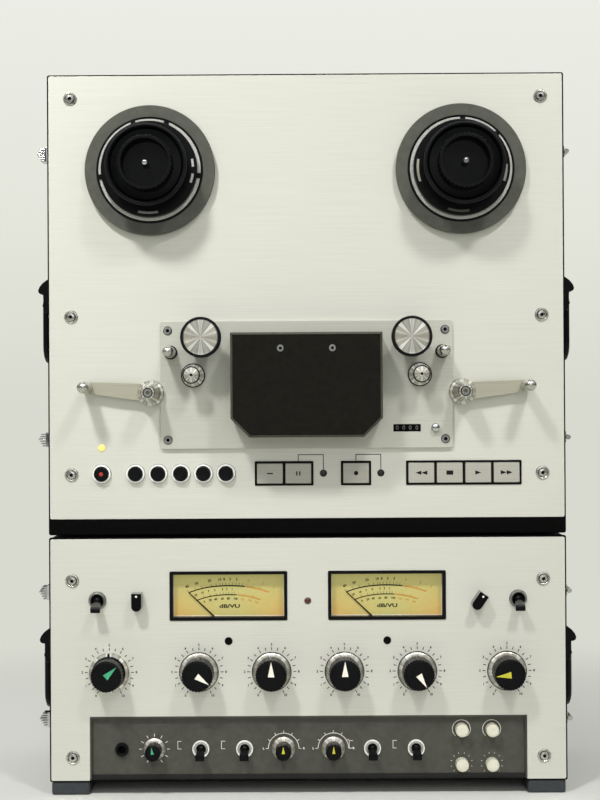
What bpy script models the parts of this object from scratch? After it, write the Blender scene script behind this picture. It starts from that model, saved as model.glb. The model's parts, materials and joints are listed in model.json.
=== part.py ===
# Reel-to-reel tape deck: a transport case stacked on a recording amplifier case, lids off.
# Units are metres. +Z is up, +X is to the right as seen from the front, the front faces -Y.
# Each face empty turns its children so that local x runs right, local y runs up and
# local z runs out of the panel towards the viewer. Heights h below are along that local z.
import math

import bmesh
import bpy

MM = 0.001

# Clearances
GAP = 0.3 * MM            # between pieces that touch or run on each other
BUTTON_GAP = 0.35 * MM    # round a button in its frame
OVERLAP = 1.0 * MM        # how far joined shapes reach into each other
HOLE_REACH = 12.0 * MM    # how far a cutter runs past each side of a panel

# Cases and panels
PANEL_WIDTH = 448.0 * MM
PANEL_THICKNESS = 3.0 * MM
PANEL_CORNER = 1.5 * MM
DECK_PANEL_HEIGHT = 386.3 * MM
AMP_PANEL_HEIGHT = 210.2 * MM
CASE_LIP = 1.3 * MM
CASE_DEPTH = 196.0 * MM
CASE_BACK = 6.0 * MM
CASE_CORNER = 3.0 * MM
CASE_SETBACK = 0.5 * MM
PANEL_LEDGE = 5.0 * MM
PLINTH_HEIGHT = 12.6 * MM
STACK_GAP = 2.2 * MM
STACK_PAD_WIDTH = 22.0 * MM
STACK_PAD_X = 190.0 * MM
SKID_WIDTH = 33.2 * MM
SKID_HEIGHT = 11.5 * MM
SKID_INSET = 1.4 * MM
BUMPER_RADIUS = 9.0 * MM
BUMPER_HEIGHT = 8.0 * MM
BUMPER_INSET = 32.0 * MM

# Panel screws with cup washers
SCREW_RADIUS = 6.0 * MM
SCREW_HEIGHT = 1.6 * MM
SCREW_INSET = 19.0 * MM
DECK_SCREW_LOW = 38.6 * MM
DECK_SCREW_MID = 176.2 * MM
DECK_SCREW_TOP_INSET = 19.7 * MM
AMP_SCREW_LOW = 20.2 * MM
AMP_SCREW_TOP_INSET = 36.2 * MM

# Reel tables with their hub adaptors
REEL_X = 135.0 * MM
REEL_DROP = 83.3 * MM
DISC_RADIUS = 56.5 * MM
DISC_BASE = 1.5 * MM
DISC_THICKNESS = 5.5 * MM
TRIM_RING_RADIUS = 45.5 * MM
ADAPTOR_RADIUS = 41.5 * MM
ADAPTOR_HEIGHT = 9.0 * MM
HUB_RADIUS = 33.0 * MM
GRIP_RING_RADIUS = 35.0 * MM
GRIP_RING_BORE = 31.3 * MM
GRIP_RING_HEIGHT = 33.0 * MM
CUP_RADIUS = 23.0 * MM
CUP_WALL = 3.2 * MM
CUP_HEIGHT = 45.0 * MM
CUP_DEPTH = 22.0 * MM
SPINDLE_RADIUS = 2.8 * MM
SPINDLE_HEIGHT = 14.0 * MM
REEL_SHAFT_RADIUS = 6.0 * MM
REEL_SHAFT_LENGTH = 24.0 * MM

# Transport chassis and motors behind the deck panel
CHASSIS_SETBACK = 28.0 * MM
CHASSIS_THICKNESS = 2.5 * MM
STANDOFF_RADIUS = 5.0 * MM
CHASSIS_MARGIN = 8.0 * MM
REEL_MOTOR_RADIUS = 42.0 * MM
REEL_MOTOR_LENGTH = 62.0 * MM
CAPSTAN_MOTOR_RADIUS = 34.0 * MM
CAPSTAN_MOTOR_LENGTH = 72.0 * MM
CAPSTAN_MOTOR_X = -62.0 * MM
CAPSTAN_MOTOR_Z = 92.0 * MM
BEARING_RADIUS = 8.0 * MM

# Head plate and what stands on it
PLATE_WIDTH = 254.0 * MM
PLATE_LOW = 60.8 * MM
PLATE_HEIGHT = 111.1 * MM
PLATE_THICKNESS = 3.0 * MM
PLATE_CORNER = 2.5 * MM
PLATE_MARGIN = 8.0 * MM
PLATE_SCREW_RADIUS = 3.7 * MM
PLATE_SCREW_HEIGHT = 1.2 * MM
PLATE_SCREW_INSET_X = 6.5 * MM
PLATE_SCREW_INSET_Z = 8.0 * MM
GUIDE_INSET = 28.5 * MM
GUIDE_Z = 124.6 * MM
GUIDE_FLANGE_RADIUS = 10.4 * MM
GUIDE_CAP_RADIUS = 7.15 * MM
GUIDE_HEIGHT = 25.0 * MM
POST_INSET = 9.0 * MM
POST_Z = 144.6 * MM
POST_RADIUS = 5.0 * MM
POST_HEIGHT = 33.0 * MM
IDLER_SPACE = 8.1 * MM
IDLER_Z = 156.6 * MM
IDLER_RADIUS = 17.4 * MM
IDLER_FACE_RADIUS = 14.85 * MM
IDLER_HEIGHT = 29.0 * MM
PIVOT_RADIUS = 3.0 * MM
HEAD_WIDTH = 14.0 * MM
HEAD_LENGTH = 15.0 * MM
HEAD_HEIGHT = 23.0 * MM
HEAD_PITCH = 23.0 * MM
HEAD_FIRST_X = -40.0 * MM
TAPE_Z = 117.4 * MM
TAPE_HEIGHT = 16.0 * MM
TAPE_SLOT = 12.0 * MM
TAPE_SLOT_REACH = 27.0 * MM

# Head cover
COVER_WIDTH = 129.0 * MM
COVER_LOW = 71.1 * MM
COVER_HEIGHT = 89.1 * MM
COVER_DEPTH = 37.0 * MM
COVER_CHAMFER = 16.0 * MM
COVER_WALL = 2.0 * MM
COVER_BEVEL = 2.0 * MM
COVER_LIFT = 1.0 * MM
HINGE_HEIGHT = 4.0 * MM
HINGE_PIN_RADIUS = 1.0 * MM
HINGE_LUG_X = 46.0 * MM
HINGE_LUG_WIDTH = 11.0 * MM

# Capstan, flywheel and pinch roller
CAPSTAN_X = 38.0 * MM
CAPSTAN_RADIUS = 3.0 * MM
CAPSTAN_HEIGHT = 27.0 * MM
FLYWHEEL_RADIUS = 38.0 * MM
FLYWHEEL_THICKNESS = 11.0 * MM
FLYWHEEL_SETBACK = 11.0 * MM
PINCH_PIVOT_X = 10.0 * MM
PINCH_PIVOT_Z = 89.6 * MM
PINCH_ROLLER_RADIUS = 13.0 * MM
PINCH_ROLLER_HEIGHT = 19.0 * MM
PINCH_ARM_RADIUS = 6.5 * MM
PINCH_ARM_THICKNESS = 3.0 * MM
PINCH_SWING = math.radians(9.0)

# Tension arms
ARM_OUTSET = 8.0 * MM
ARM_Z = 109.6 * MM
ARM_LENGTH = 55.0 * MM
ARM_RISE = math.radians(5.0)
ARM_THICKNESS = 2.5 * MM
ARM_HUB_RADIUS = 11.0 * MM
ARM_CAP_RADIUS = 5.3 * MM
ARM_CAP_HEIGHT = 28.0 * MM
ARM_ROOT_HALF = 8.0 * MM
ARM_POST_RADIUS = 5.0 * MM
ARM_POST_HEIGHT = 33.0 * MM

# Counter
COUNTER_INSET = 39.8 * MM
COUNTER_Z = 78.2 * MM
COUNTER_WIDTH = 24.0 * MM
COUNTER_HEIGHT = 6.6 * MM
COUNTER_BODY_DEPTH = 18.0 * MM
RESET_INSET = 15.0 * MM
RESET_RADIUS = 3.5 * MM
RESET_HEIGHT = 4.0 * MM

# Push buttons on the deck
ROUND_ROW_Z = 39.3 * MM
POWER_X = -178.8 * MM
ROUND_FIRST_X = -149.3 * MM
ROUND_PITCH = 19.7 * MM
ROUND_CAP_RADIUS = 6.0 * MM
ROUND_BEZEL_WALL = 1.2 * MM
ROUND_BEZEL_HEIGHT = 3.0 * MM
ROUND_CAP_HEIGHT = 5.5 * MM
KEY_ROW_Z = 39.05 * MM
KEY_PITCH = 24.7 * MM
KEY_HEIGHT = 17.2 * MM
KEY_LINE = 1.7 * MM
KEY_FRAME_HEIGHT = 0.8 * MM
KEY_FACE_HEIGHT = 2.4 * MM
KEY_BEVEL = 0.8 * MM
BUTTON_STEM = 8.0 * MM
CUE_BLOCK_X = -19.9 * MM
REC_BLOCK_X = 42.65 * MM
DRIVE_BLOCK_X = 136.45 * MM
LAMP_RADIUS = 2.5 * MM
LAMP_HEIGHT = 1.0 * MM
POWER_LAMP_RADIUS = 3.35 * MM
POWER_LAMP_Z = 62.0 * MM
PAUSE_LAMP_X = 14.3 * MM
REC_LAMP_X = 64.3 * MM

# Meters on the amplifier panel
METER_X = 69.0 * MM
METER_Z = 160.25 * MM
METER_WIDTH = 102.6 * MM
METER_HEIGHT = 42.9 * MM
METER_FRAME = 2.4 * MM
METER_PROUD = 0.6 * MM
METER_BOX_DEPTH = 7.0 * MM
METER_BOX_WALL = 2.0 * MM
METER_BOX_SIDE = 4.0 * MM
METER_BOX_BELOW = 16.0 * MM
NEEDLE_DROP = 9.6 * MM
NEEDLE_LENGTH = 48.6 * MM
NEEDLE_WIDTH = 0.8 * MM
NEEDLE_HUB_RADIUS = 4.0 * MM
NEEDLE_REST = math.radians(-46.5)
AMP_LAMP_Z = 155.7 * MM
MARKER_Z = 120.2 * MM
MARKER_RADIUS = 3.35 * MM

# Rotary knobs on the amplifier panel
KNOB_Z = 94.2 * MM
KNOB_OUTER_X = 173.0 * MM
KNOB_MID_X = 95.0 * MM
KNOB_INNER_X = 31.7 * MM
SKIRT_RADIUS = 17.2 * MM
SKIRT_HEIGHT = 3.0 * MM
CAP_RADIUS = 13.5 * MM
CAP_HEIGHT = 24.0 * MM
KNOB_SHAFT_RADIUS = 3.0 * MM
KNOB_SHAFT_LENGTH = 9.0 * MM
SLEEVE_WALL = 2.0 * MM
POINTER_HEIGHT = 0.8 * MM
POINTER_HALF = 0.21
POINTER_TAIL = 0.05
POINTER_TIP = 0.92

# Toggles and selectors
TOGGLE_X = 183.1 * MM
TOGGLE_Z = 156.7 * MM
TOGGLE_RING_RADIUS = 7.4 * MM
TOGGLE_RING_HEIGHT = 3.2 * MM
TOGGLE_BALL_RADIUS = 4.4 * MM
TOGGLE_LEVER_LENGTH = 17.0 * MM
TOGGLE_LIFT = 0.5 * MM
TOGGLE_NECK_HALF = 1.4 * MM
TOGGLE_NECK_LENGTH = 5.0 * MM
TOGGLE_ROOT_HALF = 3.4 * MM
TOGGLE_THICKNESS = 2.6 * MM
TOGGLE_END_LENGTH = 4.0 * MM
TOGGLE_END_HALF = 4.2 * MM
TOGGLE_END_THICKNESS = 4.0 * MM
TOGGLE_TILT = math.radians(25.0)
RECESS_LEVER_LENGTH = 17.0 * MM
RECESS_END_HALF = 4.0 * MM
RECESS_END_THICKNESS = 4.6 * MM
RECESS_ROOT_HALF = 2.8 * MM
RECESS_TILT = math.radians(18.0)
EQUALIZER_X = -148.0 * MM
METER_SELECT_X = 146.3 * MM
SELECTOR_Z = 152.9 * MM
SELECTOR_RADIUS = 4.35 * MM
SELECTOR_LENGTH = 11.0 * MM
SELECTOR_HEIGHT = 13.0 * MM
SELECTOR_TURN = math.radians(35.0)

# Recessed control panel at the bottom of the amplifier
NOTCH_HALF = 190.3 * MM
NOTCH_HEIGHT = 55.7 * MM
RECESS_DEPTH = 4.0 * MM
CONTROL_THICKNESS = 2.0 * MM
CONTROL_WALL = 1.5 * MM
ROW_Z = 26.5 * MM
JACK_X = -162.8 * MM
JACK_RADIUS = 5.85 * MM
JACK_BORE = 3.4 * MM
JACK_PROUD = 3.0 * MM
JACK_LENGTH = 34.0 * MM
LEVEL_X = -134.4 * MM
LEVEL_SKIRT_RADIUS = 9.65 * MM
PAN_X = 21.7 * MM
PAN_SKIRT_RADIUS = 10.25 * MM
SMALL_CAP_RADIUS = 6.85 * MM
SMALL_CAP_HEIGHT = 20.0 * MM
INPUT_TOGGLE_OUTER_X = 93.9 * MM
INPUT_TOGGLE_INNER_X = 55.75 * MM
TRIM_FIRST_X = 133.4 * MM
TRIM_PITCH = 26.4 * MM
TRIM_HIGH_Z = 42.8 * MM
TRIM_LOW_Z = 12.8 * MM
TRIM_RADIUS = 5.5 * MM
TRIM_HEIGHT = 10.0 * MM
TRAY_LENGTH = 140.0 * MM
TRAY_MARGIN = 12.0 * MM
TRANSFORMER_X = 110.0 * MM
TRANSFORMER_SIDE = 62.0 * MM
TRANSFORMER_SETBACK = 70.0 * MM

# Handles, latch keepers and lift-off hinge halves on the case sides
DECK_HANDLE_Z = 189.1 * MM
AMP_HANDLE_Z = 103.2 * MM
HANDLE_FRONT = 40.0 * MM
HANDLE_SPAN = 112.0 * MM
HANDLE_DROP = 47.6 * MM
HANDLE_WIRE_RADIUS = 4.2 * MM
HANDLE_STANDOFF = 9.0 * MM
HANDLE_BEND = 12.0 * MM
HANDLE_PIN_RADIUS = 2.5 * MM
EAR_THICKNESS = 9.0 * MM
EAR_HALF = 7.0 * MM
HOOD_HEIGHT = 15.0 * MM
HOOD_REACH = 15.5 * MM
HOOD_RISE = 10.0 * MM
HOOD_ROUND = 6.0 * MM
KEEPER_REACH = 10.5 * MM
KEEPER_HEIGHT = 13.0 * MM
KEEPER_LENGTH = 18.0 * MM
HINGE_HALF_REACH = 5.5 * MM
HINGE_HALF_HEIGHT = 10.0 * MM
SIDE_FRONT = 6.0 * MM
DECK_KEEPERS = (319.2 * MM, 69.3 * MM)
AMP_KEEPERS = (163.0 * MM, 52.0 * MM)

# Rear sockets
INLET_WIDTH = 27.0 * MM
INLET_HEIGHT = 20.0 * MM
INLET_DEPTH = 14.0 * MM
INLET_RIM = 3.0 * MM
INLET_PROUD = 3.0 * MM
INLET_X = -150.0 * MM
INLET_Z = 50.0 * MM
PHONO_RADIUS = 4.2 * MM
PHONO_PROUD = 6.0 * MM
PHONO_COUNT = 6
PHONO_PITCH = 20.0 * MM
PHONO_FIRST_X = 40.0 * MM
PHONO_Z = 60.0 * MM

ROUND_SEGMENTS = 20
KNOB_SEGMENTS = 14
SMALL_SEGMENTS = 10
SCREW_SEGMENTS = 8

# Worked out from the sizes above
DISC_TOP = DISC_BASE + DISC_THICKNESS
FRONT_REACH = DISC_TOP + CUP_HEIGHT
CASE_REAR = CASE_DEPTH + BUMPER_HEIGHT
FACE_Y = FRONT_REACH - (FRONT_REACH + CASE_REAR) / 2
CASE_HALF = PANEL_WIDTH / 2 + CASE_LIP
AMP_PANEL_Z = SKID_HEIGHT + CASE_LIP
DECK_CASE_Z = AMP_PANEL_Z + AMP_PANEL_HEIGHT + CASE_LIP + STACK_GAP
DECK_PANEL_Z = DECK_CASE_Z + PLINTH_HEIGHT + CASE_LIP
REEL_Z = DECK_PANEL_HEIGHT - REEL_DROP
PLATE_BACK = GAP
GUIDE_X = PLATE_WIDTH / 2 - GUIDE_INSET
POST_X = PLATE_WIDTH / 2 - POST_INSET
IDLER_X = COVER_WIDTH / 2 + IDLER_SPACE + IDLER_RADIUS
ARM_X = PLATE_WIDTH / 2 + ARM_OUTSET
COUNTER_X = PLATE_WIDTH / 2 - COUNTER_INSET
RESET_X = PLATE_WIDTH / 2 - RESET_INSET
PLATE_FRONT = PLATE_BACK + PLATE_THICKNESS
CAPSTAN_Z = TAPE_Z + CAPSTAN_RADIUS
COLLECTION_NAME = "tape_deck"


def clear_scene():
    for obj in list(bpy.data.objects):
        bpy.data.objects.remove(obj, do_unlink=True)


def new_collection(name, parent):
    collection = bpy.data.collections.new(name)
    parent.children.link(collection)
    return collection


def face_empty(name, height):
    """An empty on a panel's bottom edge whose local z points out of the panel."""
    empty = bpy.data.objects.new(name, None)
    empty.location = (0, FACE_Y, height)
    empty.rotation_euler = (math.pi / 2, 0, 0)
    parts.objects.link(empty)
    return empty


def material(name, color, roughness, metallic=0.0):
    finish = bpy.data.materials.new(name)
    finish.use_nodes = True
    shader = finish.node_tree.nodes["Principled BSDF"]
    shader.inputs["Base Color"].default_value = (*color, 1)
    shader.inputs["Roughness"].default_value = roughness
    shader.inputs["Metallic"].default_value = metallic
    return finish


def new_object(name, mesh, face, location=(0, 0, 0)):
    obj = bpy.data.objects.new(name, mesh)
    obj.parent = face
    obj.location = location
    parts.objects.link(obj)
    return obj


def settle(obj):
    """Turns an object's modifiers or curve into a plain mesh, shaded smooth up to 30 degrees."""
    bpy.context.view_layer.update()
    graph = bpy.context.evaluated_depsgraph_get()
    mesh = bpy.data.meshes.new_from_object(obj.evaluated_get(graph))
    welded = bmesh.new()
    welded.from_mesh(mesh)
    bmesh.ops.remove_doubles(welded, verts=welded.verts, dist=0.00001)
    welded.to_mesh(mesh)
    welded.free()
    mesh.shade_smooth()
    mesh.set_sharp_from_angle(angle=math.radians(30))
    settled = bpy.data.objects.new(obj.name, mesh)
    settled.parent = obj.parent
    settled.location = obj.location
    settled.rotation_euler = obj.rotation_euler
    for collection in obj.users_collection:
        collection.objects.link(settled)
    name = obj.name
    bpy.data.objects.remove(obj, do_unlink=True)
    settled.name = name
    return settled


def box(name, face, low, high, bevel=0.0, bevel_axis=None, location=(0, 0, 0), segments=2):
    """A block between two corners, measured from its own origin, with rounded edges if asked."""
    shape = bmesh.new()
    bmesh.ops.create_cube(shape, size=1)
    size = [b - a for a, b in zip(low, high)]
    middle = [(a + b) / 2 for a, b in zip(low, high)]
    bmesh.ops.scale(shape, vec=size, verts=shape.verts)
    bmesh.ops.translate(shape, vec=middle, verts=shape.verts)
    if bevel:
        edges = list(shape.edges)
        if bevel_axis is not None:
            edges = [e for e in edges
                     if abs((e.verts[0].co - e.verts[1].co)[bevel_axis]) > 0.5 * size[bevel_axis]]
        bmesh.ops.bevel(shape, geom=edges, offset=bevel, segments=segments,
                        profile=0.5, affect="EDGES")
    mesh = bpy.data.meshes.new(name)
    shape.to_mesh(mesh)
    shape.free()
    return new_object(name, mesh, face, location)


def cylinder(name, face, radius, low, high, location=(0, 0, 0), segments=SMALL_SEGMENTS):
    shape = bmesh.new()
    bmesh.ops.create_cone(shape, cap_ends=True, segments=segments,
                          radius1=radius, radius2=radius, depth=high - low)
    bmesh.ops.translate(shape, vec=(0, 0, (low + high) / 2), verts=shape.verts)
    mesh = bpy.data.meshes.new(name)
    shape.to_mesh(mesh)
    shape.free()
    mesh.shade_smooth()
    mesh.set_sharp_from_angle(angle=math.radians(30))
    return new_object(name, mesh, face, location)


def turned(name, face, profile, location=(0, 0, 0), segments=ROUND_SEGMENTS, closed=False):
    """A turned solid. The profile holds (radius, height) pairs down the outer side."""
    mesh = bpy.data.meshes.new(name)
    edges = [(i, i + 1) for i in range(len(profile) - 1)]
    if closed:
        edges.append((len(profile) - 1, 0))
    mesh.from_pydata([(r, 0, h) for r, h in profile], edges, [])
    obj = new_object(name, mesh, face, location)
    screw = obj.modifiers.new("turn", "SCREW")
    screw.steps = segments
    screw.render_steps = segments
    screw.use_merge_vertices = True
    screw.merge_threshold = 0.00001
    return settle(obj)


def extruded(name, face, outline, low, high, location=(0, 0, 0)):
    """A flat outline given thickness between two heights."""
    curve = bpy.data.curves.new(name, "CURVE")
    curve.dimensions = "2D"
    curve.fill_mode = "BOTH"
    curve.extrude = (high - low) / 2
    spline = curve.splines.new("POLY")
    spline.points.add(len(outline) - 1)
    for point, (x, y) in zip(spline.points, outline):
        point.co = (x, y, 0, 1)
    spline.use_cyclic_u = True
    obj = settle(new_object(name, curve, face, location))
    for vertex in obj.data.vertices:
        vertex.co.z += (low + high) / 2
    return obj


def combine(target, operation, others):
    """Groups hidden helper shapes for a later join or cut of the target."""
    group = new_collection(f"{target.name}_{operation.lower()}", cutters)
    for other in others:
        for collection in list(other.users_collection):
            collection.objects.unlink(other)
        group.objects.link(other)
        other.hide_render = True
        other.display_type = "WIRE"
    combinations.append((target, operation, group))


def join(target, *others):
    combine(target, "UNION", others)


def cut(target, *others):
    combine(target, "DIFFERENCE", others)


def add_booleans():
    """Sets up every join and cut once all the shapes exist, so that each is worked out once."""
    for target, operation, group in combinations:
        modifier = target.modifiers.new(operation.lower(), "BOOLEAN")
        modifier.operation = operation
        modifier.operand_type = "COLLECTION"
        modifier.collection = group
        modifier.solver = "EXACT"


def finish(obj, finish_material):
    obj.data.materials.clear()
    obj.data.materials.append(finish_material)
    return obj


def arc(radius, start, end, count, center=(0, 0)):
    """Points on an arc, angles in radians from +x."""
    return [(center[0] + radius * math.cos(start + (end - start) * i / count),
             center[1] + radius * math.sin(start + (end - start) * i / count))
            for i in range(count + 1)]


def screw_heads(face, places, radius=SCREW_RADIUS, height=SCREW_HEIGHT, base=0.0, segments=SCREW_SEGMENTS):
    return [turned("screw_head", face,
                   [(0, base + height), (radius * 0.55, base + height), (radius, base + height * 0.35),
                    (radius, base - OVERLAP), (0, base - OVERLAP)], (x, z, 0), segments)
            for x, z in places]


def deck_screw_places():
    x = PANEL_WIDTH / 2 - SCREW_INSET
    return [(side * x, z) for side in (-1, 1)
            for z in (DECK_SCREW_LOW, DECK_SCREW_MID, DECK_PANEL_HEIGHT - DECK_SCREW_TOP_INSET)]


def amp_screw_places():
    x = PANEL_WIDTH / 2 - SCREW_INSET
    return [(side * x, z) for side in (-1, 1)
            for z in (AMP_SCREW_LOW, AMP_PANEL_HEIGHT - AMP_SCREW_TOP_INSET)]


def case_shell(name, face, panel_height, below):
    """A box open at the front, with a rebate that the panel sits in."""
    shell = box(name, face, (-CASE_HALF, -below, -CASE_DEPTH),
                (CASE_HALF, panel_height + CASE_LIP, -CASE_SETBACK), CASE_CORNER, 2, segments=3)
    half = PANEL_WIDTH / 2
    rebate = box("rebate", face, (-half - GAP, -GAP, -PANEL_THICKNESS - GAP),
                 (half + GAP, panel_height + GAP, OVERLAP), PANEL_CORNER, 2)
    cavity = box("cavity", face, (-half + PANEL_LEDGE, PANEL_LEDGE, -CASE_DEPTH + CASE_BACK),
                 (half - PANEL_LEDGE, panel_height - PANEL_LEDGE, 0))
    cut(shell, rebate, cavity)
    return shell


def case_bumpers(face, low, high):
    x = CASE_HALF - BUMPER_INSET
    return [cylinder("bumper", face, BUMPER_RADIUS, -CASE_REAR, -CASE_DEPTH + OVERLAP, (side * x, z, 0))
            for side in (-1, 1) for z in (low + BUMPER_INSET, high - BUMPER_INSET)]


def handle_ears(face, z):
    """Two ears and the hood over them on each side of a case, bored for the handle's pins."""
    ears = []
    bores = []
    reach = HANDLE_STANDOFF + EAR_HALF - 1.5 * MM
    middle = -HANDLE_FRONT - HANDLE_SPAN / 2
    for side in (-1, 1):
        x0, x1 = sorted((side * (CASE_HALF - OVERLAP), side * (CASE_HALF + reach)))
        hood0, hood1 = sorted((side * (CASE_HALF - OVERLAP), side * (CASE_HALF + HOOD_REACH)))
        for end in (-1, 1):
            outer = middle + end * HANDLE_SPAN / 2
            inner = outer - end * EAR_THICKNESS
            h0, h1 = sorted((inner, outer))
            ears.append(box("ear", face, (x0, z - EAR_HALF, h0), (x1, z + HOOD_RISE + OVERLAP, h1)))
            ears.append(box("hood", face, (hood0, z + HOOD_RISE, h0 - GAP),
                            (hood1, z + HOOD_RISE + HOOD_HEIGHT, h1 + GAP), HOOD_ROUND, 2))
            bores.append(cylinder("ear_bore", face, HANDLE_PIN_RADIUS + GAP, h0 - 2 * MM, h1 + 2 * MM,
                                  (side * (CASE_HALF + HANDLE_STANDOFF), z, 0)))
    return ears, bores


def side_hardware(face, heights):
    """Latch keepers on the left side and lift-off hinge halves on the right."""
    shapes = []
    for z in heights:
        keeper = box("keeper", face, (-CASE_HALF - KEEPER_REACH, z - KEEPER_HEIGHT / 2,
                                      -SIDE_FRONT - KEEPER_LENGTH),
                     (-CASE_HALF + OVERLAP, z + KEEPER_HEIGHT / 2, -SIDE_FRONT), 1.5 * MM, 1)
        half = box("hinge_half", face, (CASE_HALF - OVERLAP, z - HINGE_HALF_HEIGHT / 2,
                                        -SIDE_FRONT - KEEPER_LENGTH),
                   (CASE_HALF + HINGE_HALF_REACH, z + HINGE_HALF_HEIGHT / 2, -SIDE_FRONT), 1.5 * MM, 2)
        shapes += [keeper, half]
    return shapes


def deck_case():
    shell = case_shell("deck_case", deck, DECK_PANEL_HEIGHT, CASE_LIP + PLINTH_HEIGHT)
    bottom = -CASE_LIP - PLINTH_HEIGHT
    ears, bores = handle_ears(deck, DECK_HANDLE_Z)
    pads = [box("stack_pad", deck, (x - STACK_PAD_WIDTH / 2, bottom - STACK_GAP + GAP,
                                    -CASE_DEPTH + CASE_BACK),
                (x + STACK_PAD_WIDTH / 2, bottom + OVERLAP, -PANEL_THICKNESS - RECESS_DEPTH))
            for x in (-STACK_PAD_X, STACK_PAD_X)]
    inlet = box("inlet", deck, (INLET_X - INLET_WIDTH / 2 - INLET_RIM,
                                INLET_Z - INLET_HEIGHT / 2 - INLET_RIM,
                                -CASE_DEPTH - INLET_PROUD),
                (INLET_X + INLET_WIDTH / 2 + INLET_RIM, INLET_Z + INLET_HEIGHT / 2 + INLET_RIM,
                 -CASE_DEPTH - INLET_PROUD + INLET_DEPTH + INLET_RIM))
    mouth = box("inlet_mouth", deck, (INLET_X - INLET_WIDTH / 2, INLET_Z - INLET_HEIGHT / 2,
                                      -CASE_DEPTH - 2 * INLET_PROUD),
                (INLET_X + INLET_WIDTH / 2, INLET_Z + INLET_HEIGHT / 2,
                 -CASE_DEPTH - INLET_PROUD + INLET_DEPTH))
    join(shell, *ears, *pads, inlet, *side_hardware(deck, DECK_KEEPERS),
         *case_bumpers(deck, bottom, DECK_PANEL_HEIGHT))
    cut(shell, mouth, *bores)
    return finish(shell, vinyl)


def amp_case():
    shell = case_shell("amp_case", amp, AMP_PANEL_HEIGHT, CASE_LIP)
    half = PANEL_WIDTH / 2
    notch = box("case_notch", amp, (-NOTCH_HALF - CONTROL_WALL - GAP, -CASE_LIP - OVERLAP / 2,
                                    -RECESS_DEPTH - CONTROL_THICKNESS - GAP),
                (NOTCH_HALF + CONTROL_WALL + GAP, NOTCH_HEIGHT, OVERLAP))
    skids = []
    for side in (-1, 1):
        x0, x1 = sorted((side * (half - SKID_WIDTH), side * half))
        skids.append(box("skid", amp, (x0, -AMP_PANEL_Z, -CASE_DEPTH + CASE_BACK),
                         (x1, -CASE_LIP + OVERLAP, -SKID_INSET), 1.5 * MM, 2))
    ears, bores = handle_ears(amp, AMP_HANDLE_Z)
    jacks = [cylinder("phono_jack", amp, PHONO_RADIUS, -CASE_DEPTH - PHONO_PROUD, -CASE_DEPTH + OVERLAP,
                      (PHONO_FIRST_X + i % 3 * PHONO_PITCH, PHONO_Z + i // 3 * PHONO_PITCH, 0),
                      SCREW_SEGMENTS)
             for i in range(PHONO_COUNT)]
    join(shell, *skids, *ears, *jacks, *side_hardware(amp, AMP_KEEPERS),
         *case_bumpers(amp, -CASE_LIP, AMP_PANEL_HEIGHT))
    cut(shell, notch, *bores)
    return finish(shell, vinyl)


def bail(name, face, side, z):
    """A hanging handle: two pins, two arms and a grip bar, as one bent rod."""
    span = HANDLE_SPAN - 2 * EAR_THICKNESS - 2 * GAP
    pin = EAR_THICKNESS - GAP
    half = span / 2 - HANDLE_WIRE_RADIUS
    curve = bpy.data.curves.new(name, "CURVE")
    curve.dimensions = "3D"
    curve.bevel_depth = HANDLE_WIRE_RADIUS
    curve.bevel_resolution = 2
    curve.use_fill_caps = True
    corner = [(-half + HANDLE_BEND - x, -HANDLE_DROP + HANDLE_BEND - y)
              for x, y in arc(HANDLE_BEND, 0, math.pi / 2, 4)]
    path = [(-half, HANDLE_WIRE_RADIUS)] + corner
    path += [(-x, y) for x, y in reversed(path)]
    spline = curve.splines.new("POLY")
    spline.points.add(len(path) - 1)
    for point, (along, up) in zip(spline.points, path):
        point.co = (0, up, along, 1)
    middle = -HANDLE_FRONT - HANDLE_SPAN / 2
    origin = (side * (CASE_HALF + HANDLE_STANDOFF), z, middle)
    rod = settle(new_object(name, curve, face, origin))
    pins = [cylinder("handle_pin", face, HANDLE_PIN_RADIUS,
                     *sorted((end * (half - HANDLE_WIRE_RADIUS / 2), end * (span / 2 + pin))), origin, 12)
            for end in (-1, 1)]
    join(rod, *pins)
    return finish(rod, black_plastic)


def key_blocks():
    """The centre and the number of keys of each framed block."""
    return ((CUE_BLOCK_X, 2), (REC_BLOCK_X, 1), (DRIVE_BLOCK_X, 4))


def key_places(center, count):
    return [center + (i - (count - 1) / 2) * KEY_PITCH for i in range(count)]


def round_places():
    return [POWER_X] + [ROUND_FIRST_X + i * ROUND_PITCH for i in range(5)]


def bezel(face, x, z, inner, wall, height, base=0.0, segments=KNOB_SEGMENTS):
    return turned("bezel", face,
                  [(0, base + height), (inner + wall * 0.6, base + height),
                   (inner + wall, base + height * 0.6),
                   (inner + wall, base - OVERLAP), (0, base - OVERLAP)], (x, z, 0), segments)


def through_hole(face, x, z, radius, base=0.0, segments=SMALL_SEGMENTS):
    return cylinder("hole", face, radius, base - HOLE_REACH, base + HOLE_REACH, (x, z, 0), segments)


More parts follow.
